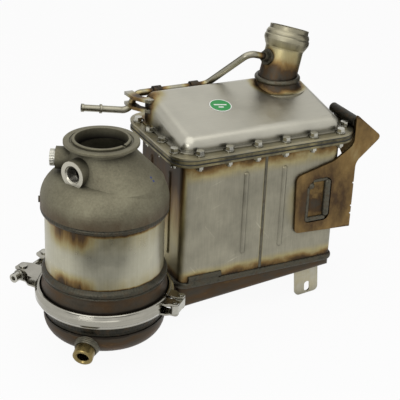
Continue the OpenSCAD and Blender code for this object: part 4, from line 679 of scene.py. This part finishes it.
def dress(material, *nodes):
    """Gives one material to the named solids."""
    for name in nodes:
        mesh = frame["nodes"][name].data
        mesh.materials.clear()
        mesh.materials.append(material)


class FILTERUNIT_OT_casting(bpy.types.Operator):
    """Dress the cast inlet housing and its plug"""

    bl_idname = "filterunit.casting"
    bl_label = "Inlet casting"

    def execute(self, context):
        dress(cast_steel(), "inlet_housing")
        dress(plain_metal("zinc_plated_plug", colours().zinc, rough=0.3), "inlet_plug")
        return {"FINISHED"}


class FILTERUNIT_OT_canister(bpy.types.Operator):
    """Dress the catalyst canister, its welds, and the mats and ceramic of both halves of the unit"""

    bl_idname = "filterunit.canister"
    bl_label = "Catalyst canister"

    def execute(self, context):
        can = sheet("stainless_canister", colours().stainless, canister_heat, lines=(1, 1, 0.02), rough=0.3)
        dress(can, "catalyst_shell")
        dress(weld_metal("canister_weld", round_can, tone=0.65), "upper_weld", "lower_weld")
        dress(fibre_sheet("ceramic_fibre_mat", colours().fibre, rough=0.9), "catalyst_mat", "filter_mat")
        dress(honeycomb("honeycomb_ceramic"), "catalyst_brick", "filter_block")
        return {"FINISHED"}


class FILTERUNIT_OT_clamp(bpy.types.Operator):
    """Dress the clamp rims, the clamp halves and fittings, and all gaskets"""

    bl_idname = "filterunit.clamp"
    bl_label = "Clamp"

    def execute(self, context):
        rim = sheet("tinted_rim", colours().stainless, flare_heat, lines=(1, 1, 0.3), rough=0.34, shade_reach=20.0)
        dress(rim, "upper_rim_flange")
        # The lower rim is drawn as dark scale: heat-blackened metal, darkened further as painted shadow under
        # the clamp
        dress(weld_metal("scaled_rim", round_can, tone=0.3), "lower_rim_flange")
        band = plain_metal("polished_stainless", colours().polished, rough=0.15,
                           lines=(0.06, 0.06, 1), grain=0.03)
        dress(band, "clamp_half_front", "clamp_half_back")
        dress(plain_metal("zinc_plated_fittings", colours().zinc, rough=0.24),
              "clamp_link", "clamp_pins", "clamp_trunnions", "clamp_screw", "clamp_nut")
        dress(fibre_sheet("graphite_gasket", colours().gasket, rough=0.6),
              "joint_gasket", "lower_flange_gasket", "upper_flange_gasket")
        return {"FINISHED"}


class FILTERUNIT_OT_tray(bpy.types.Operator):
    """Dress the collector tray and its sensor boss"""

    bl_idname = "filterunit.tray"
    bl_label = "Collector tray"

    def execute(self, context):
        tray = sheet("tinted_tray", colours().stainless, tray_heat, lines=(0.1, 0.1, 1),
                     rough=0.38, shade_reach=24.0)
        dress(tray, "collector_tray")
        dress(plain_metal("straw_plated_boss", colours().boss_plating, rough=0.3), "lower_sensor_boss")
        dress(weld_metal("boss_weld", along_box, tone=1.3), "lower_boss_weld")
        return {"FINISHED"}


class FILTERUNIT_OT_box(bpy.types.Operator):
    """Dress the filter box, its welds, flanges and cartridge"""

    bl_idname = "filterunit.box"
    bl_label = "Filter box"

    def execute(self, context):
        walls = sheet("stainless_box", colours().dull, box_heat, lines=(1, 1, 0.08), rough=0.42, wear=1.4)
        dress(walls, "box_half_left", "box_half_right")
        dress(sheet("sooty_cartridge", colours().gasket, trace_heat, lines=(0.1, 0.1, 1), rough=0.45),
              "filter_cartridge")
        dress(weld_metal("box_weld", along_box, tone=0.75), "box_foot_weld")
        dress(weld_metal("seam_weld", along_box, tone=1.3), "box_seam_welds")
        border = sheet("dull_frame", colours().dull, trace_heat, lines=(0.1, 0.1, 1),
                       rough=0.32, wear=1.2, shade_reach=14.0)
        dress(border, "lid_frame")
        dress(sheet("sooty_flange", colours().weld, trace_heat, lines=(0.1, 0.1, 1), rough=0.42),
              "box_flange")
        return {"FINISHED"}


class FILTERUNIT_OT_lid(bpy.types.Operator):
    """Dress the lid, its screws and its label"""

    bl_idname = "filterunit.lid"
    bl_label = "Lid"

    def execute(self, context):
        dress(sheet("satin_lid", colours().satin, lid_heat, lines=(0.06, 1, 1), rough=0.34, wear=0.45), "lid")
        dress(plain_metal("zinc_plated_screws", colours().zinc, rough=0.16, grain=0.04),
              "lid_screws", "lid_nuts")
        dress(label_film(), "sticker")
        return {"FINISHED"}


class FILTERUNIT_OT_outlet(bpy.types.Operator):
    """Dress the outlet pipe, its welds and the pressure tube"""

    bl_idname = "filterunit.outlet"
    bl_label = "Outlet and tube"

    def execute(self, context):
        dress(sheet("tinted_outlet", colours().dull, outlet_heat, lines=(1, 1, 0.1)), "outlet_pipe")
        dress(weld_metal("outlet_weld_metal", along_box), "outlet_weld", "tube_boss")
        dress(sheet("dull_tube", colours().dull, tube_heat, lines=(0.1, 1, 1), rough=0.28), "pressure_tube")
        dress(sheet("tinted_clips", colours().satin, tube_heat, lines=(1, 1, 1)), "tube_clips", "tube_strap")
        return {"FINISHED"}


class FILTERUNIT_OT_bracket(bpy.types.Operator):
    """Dress the mounting bracket and the foot tab"""

    bl_idname = "filterunit.bracket"
    bl_label = "Bracket and foot tab"

    def execute(self, context):
        dress(sheet("tinted_bracket", colours().dull, bracket_heat, lines=(0.3, 1, 1), rough=0.38),
              "bracket_plate")
        dress(weld_metal("bracket_weld_metal", along_box), "bracket_weld")
        dress(weld_metal("scaled_bracket_tube", along_box, tone=0.35), "bracket_tube")
        dress(sheet("satin_tab", colours().satin, trace_heat, lines=(1, 1, 0.1), rough=0.32), "foot_tab")
        return {"FINISHED"}


class FILTERUNIT_OT_stage(bpy.types.Operator):
    """Set the floor, the pale surroundings, the soft boxes, the flags and the camera"""

    bl_idname = "filterunit.stage"
    bl_label = "Stage"

    def execute(self, context):
        scene = context.scene
        scene.view_settings.view_transform = "Standard"
        stage = scene.filter_unit_stage
        ahead = Vector((math.sin(stage.heading), math.cos(stage.heading), 0))
        right = Vector((math.cos(stage.heading), -math.sin(stage.heading), 0))
        self.floor(scene)
        self.surroundings(scene, stage)
        self.soft_box(scene, "overhead", OVERHEAD_PLACE, OVERHEAD_AIM, stage.key_width, stage.key_power)
        self.soft_box(scene, "left", LEFT_PLACE, LEFT_AIM, stage.side_width, stage.side_power)
        self.flags(scene, right, ahead)
        self.camera(scene, stage, right, ahead)
        return {"FINISHED"}

    def panel(self, scene, name, corners, material):
        """A flat four-cornered piece of the stage."""
        mesh = bpy.data.meshes.new(name)
        mesh.from_pydata(corners, [], [(0, 1, 2, 3)])
        mesh.materials.append(material)
        made = bpy.data.objects.new(name, mesh)
        scene.collection.objects.link(made)
        return made

    def floor(self, scene):
        """A pale floor just under the lowest solid, which keeps the part's shadow."""
        material = bpy.data.materials.new("pale_floor")
        material.use_nodes = True
        tree = material.node_tree
        matte = add(tree, "BsdfDiffuse", {"Color": FLOOR_GREY}).outputs[0]
        white = add(tree, "Emission", {"Color": (1, 1, 1, 1), "Strength": 1.0}).outputs[0]
        share = add(tree, "Math", {0: self.seen(tree), 1: FLOOR_WHITE}, operation="MULTIPLY").outputs[0]
        mixed = add(tree, "MixShader", {0: share, 1: matte, 2: white}).outputs[0]
        tree.links.new(mixed, tree.nodes["Material Output"].inputs["Surface"])
        level = CAD_BOX[0][2] - FLOOR_GAP
        signs = ((-1, -1), (1, -1), (1, 1), (-1, 1))
        corners = [(x * FLOOR_HALF, y * FLOOR_HALF, level) for x, y in signs]
        floor = self.panel(scene, "floor", corners, material)

    def seen(self, tree):
        """1 for rays from the camera, and for mirrored and passed-on rays."""
        path = add(tree, "LightPath")
        kinds = [path.outputs[k] for k in ("Is Camera Ray", "Is Glossy Ray", "Is Transmission Ray")]
        return hottest(tree, *kinds)

    def surroundings(self, scene, stage):
        """White where it is seen, and a level ambient light elsewhere."""
        world = bpy.data.worlds.new("pale_studio")
        world.use_nodes = True
        scene.world = world
        tree = world.node_tree
        back = tree.nodes["Background"]
        back.inputs["Color"].default_value = (1, 1, 1, 1)
        level = add(tree, "MapRange", {"Value": self.seen(tree), "To Min": stage.ambient,
                                       "To Max": 1.0}).outputs[0]
        tree.links.new(level, back.inputs["Strength"])

    def soft_box(self, scene, name, place, aim, width, power):
        """A square area light that looks at a point of the part."""
        lamp = bpy.data.lights.new(name, "AREA")
        lamp.size = width
        lamp.energy = power
        box = bpy.data.objects.new(name, lamp)
        box.location = place
        box.rotation_euler = (aim - place).to_track_quat("-Z", "Y").to_euler()
        scene.collection.objects.link(box)

    def flags(self, scene, right, ahead):
        """Grey studio flags that only mirrored rays see, which give the bare metal its darker bands."""
        material = bpy.data.materials.new("grey_flag_cloth")
        material.use_nodes = True
        shader = material.node_tree.nodes["Principled BSDF"]
        shader.inputs["Base Color"].default_value = FLAG_GREY
        shader.inputs["Roughness"].default_value = 0.9
        foot = Vector((CAN_AXIS.x / MM, CAN_AXIS.y / MM, CAD_BOX[0][2]))
        turn = Matrix((right, ahead, (0, 0, 1))).transposed()
        for name, place, half_side, half_rise in FLAGS:
            centre = foot + turn @ Vector(place)
            side = turn @ Vector(half_side)
            rise = turn @ Vector(half_rise)
            corners = [centre - side - rise, centre + side - rise, centre + side + rise, centre - side + rise]
            flag = self.panel(scene, name, corners, material)
            flag.visible_camera = False
            flag.visible_shadow = False
            flag.visible_diffuse = False

    def camera(self, scene, stage, level, ahead):
        """The camera at the photograph's viewing angle."""
        view = ahead * math.cos(stage.tilt) - Vector((0, 0, math.sin(stage.tilt)))
        right = level * math.cos(stage.roll) + level.cross(view) * math.sin(stage.roll)
        turn = Matrix((right, right.cross(view), -view)).transposed().to_4x4()
        lens = bpy.data.cameras.new("camera")
        lens.lens = stage.lens
        lens.sensor_width = 36
        camera = bpy.data.objects.new("camera", lens)
        camera.matrix_world = Matrix.Translation(stage.camera_place) @ turn
        scene.collection.objects.link(camera)
        scene.camera = camera


class FILTERUNIT_PT_panel(bpy.types.Panel):
    """Lists the finishes and their settings"""

    bl_label = "Filter unit"
    bl_idname = "FILTERUNIT_PT_panel"
    bl_space_type = "VIEW_3D"
    bl_region_type = "UI"
    bl_category = "Filter unit"

    def draw(self, context):
        for operator in OPERATORS:
            self.layout.operator(operator.bl_idname)
        for group in SETTINGS:
            settings = getattr(context.scene, group)
            for name in settings.__annotations__:
                self.layout.prop(settings, name)


OPERATORS = (
    FILTERUNIT_OT_casting, FILTERUNIT_OT_canister, FILTERUNIT_OT_clamp, FILTERUNIT_OT_tray,
    FILTERUNIT_OT_box, FILTERUNIT_OT_lid, FILTERUNIT_OT_outlet, FILTERUNIT_OT_bracket, FILTERUNIT_OT_stage,
)
SETTINGS = {
    "filter_unit_colours": FilterUnitColours,
    "filter_unit_sizes": FilterUnitSizes,
    "filter_unit_stage": FilterUnitStage,
}
CLASSES = tuple(SETTINGS.values()) + OPERATORS + (FILTERUNIT_PT_panel,)


def register():
    """Registers the classes and their settings."""
    for kind in CLASSES:
        bpy.utils.register_class(kind)
    for name, group in SETTINGS.items():
        setattr(bpy.types.Scene, name, bpy.props.PointerProperty(type=group))


def unregister():
    """Removes the settings and the classes."""
    for name in SETTINGS:
        delattr(bpy.types.Scene, name)
    for kind in reversed(CLASSES):
        bpy.utils.unregister_class(kind)


def main():
    """Dresses the unit and sets the stage."""
    register()
    bpy.ops.filterunit.casting()
    bpy.ops.filterunit.canister()
    bpy.ops.filterunit.clamp()
    bpy.ops.filterunit.tray()
    bpy.ops.filterunit.box()
    bpy.ops.filterunit.lid()
    bpy.ops.filterunit.outlet()
    bpy.ops.filterunit.bracket()
    bpy.ops.filterunit.stage()


if __name__ == "__main__":
    main()
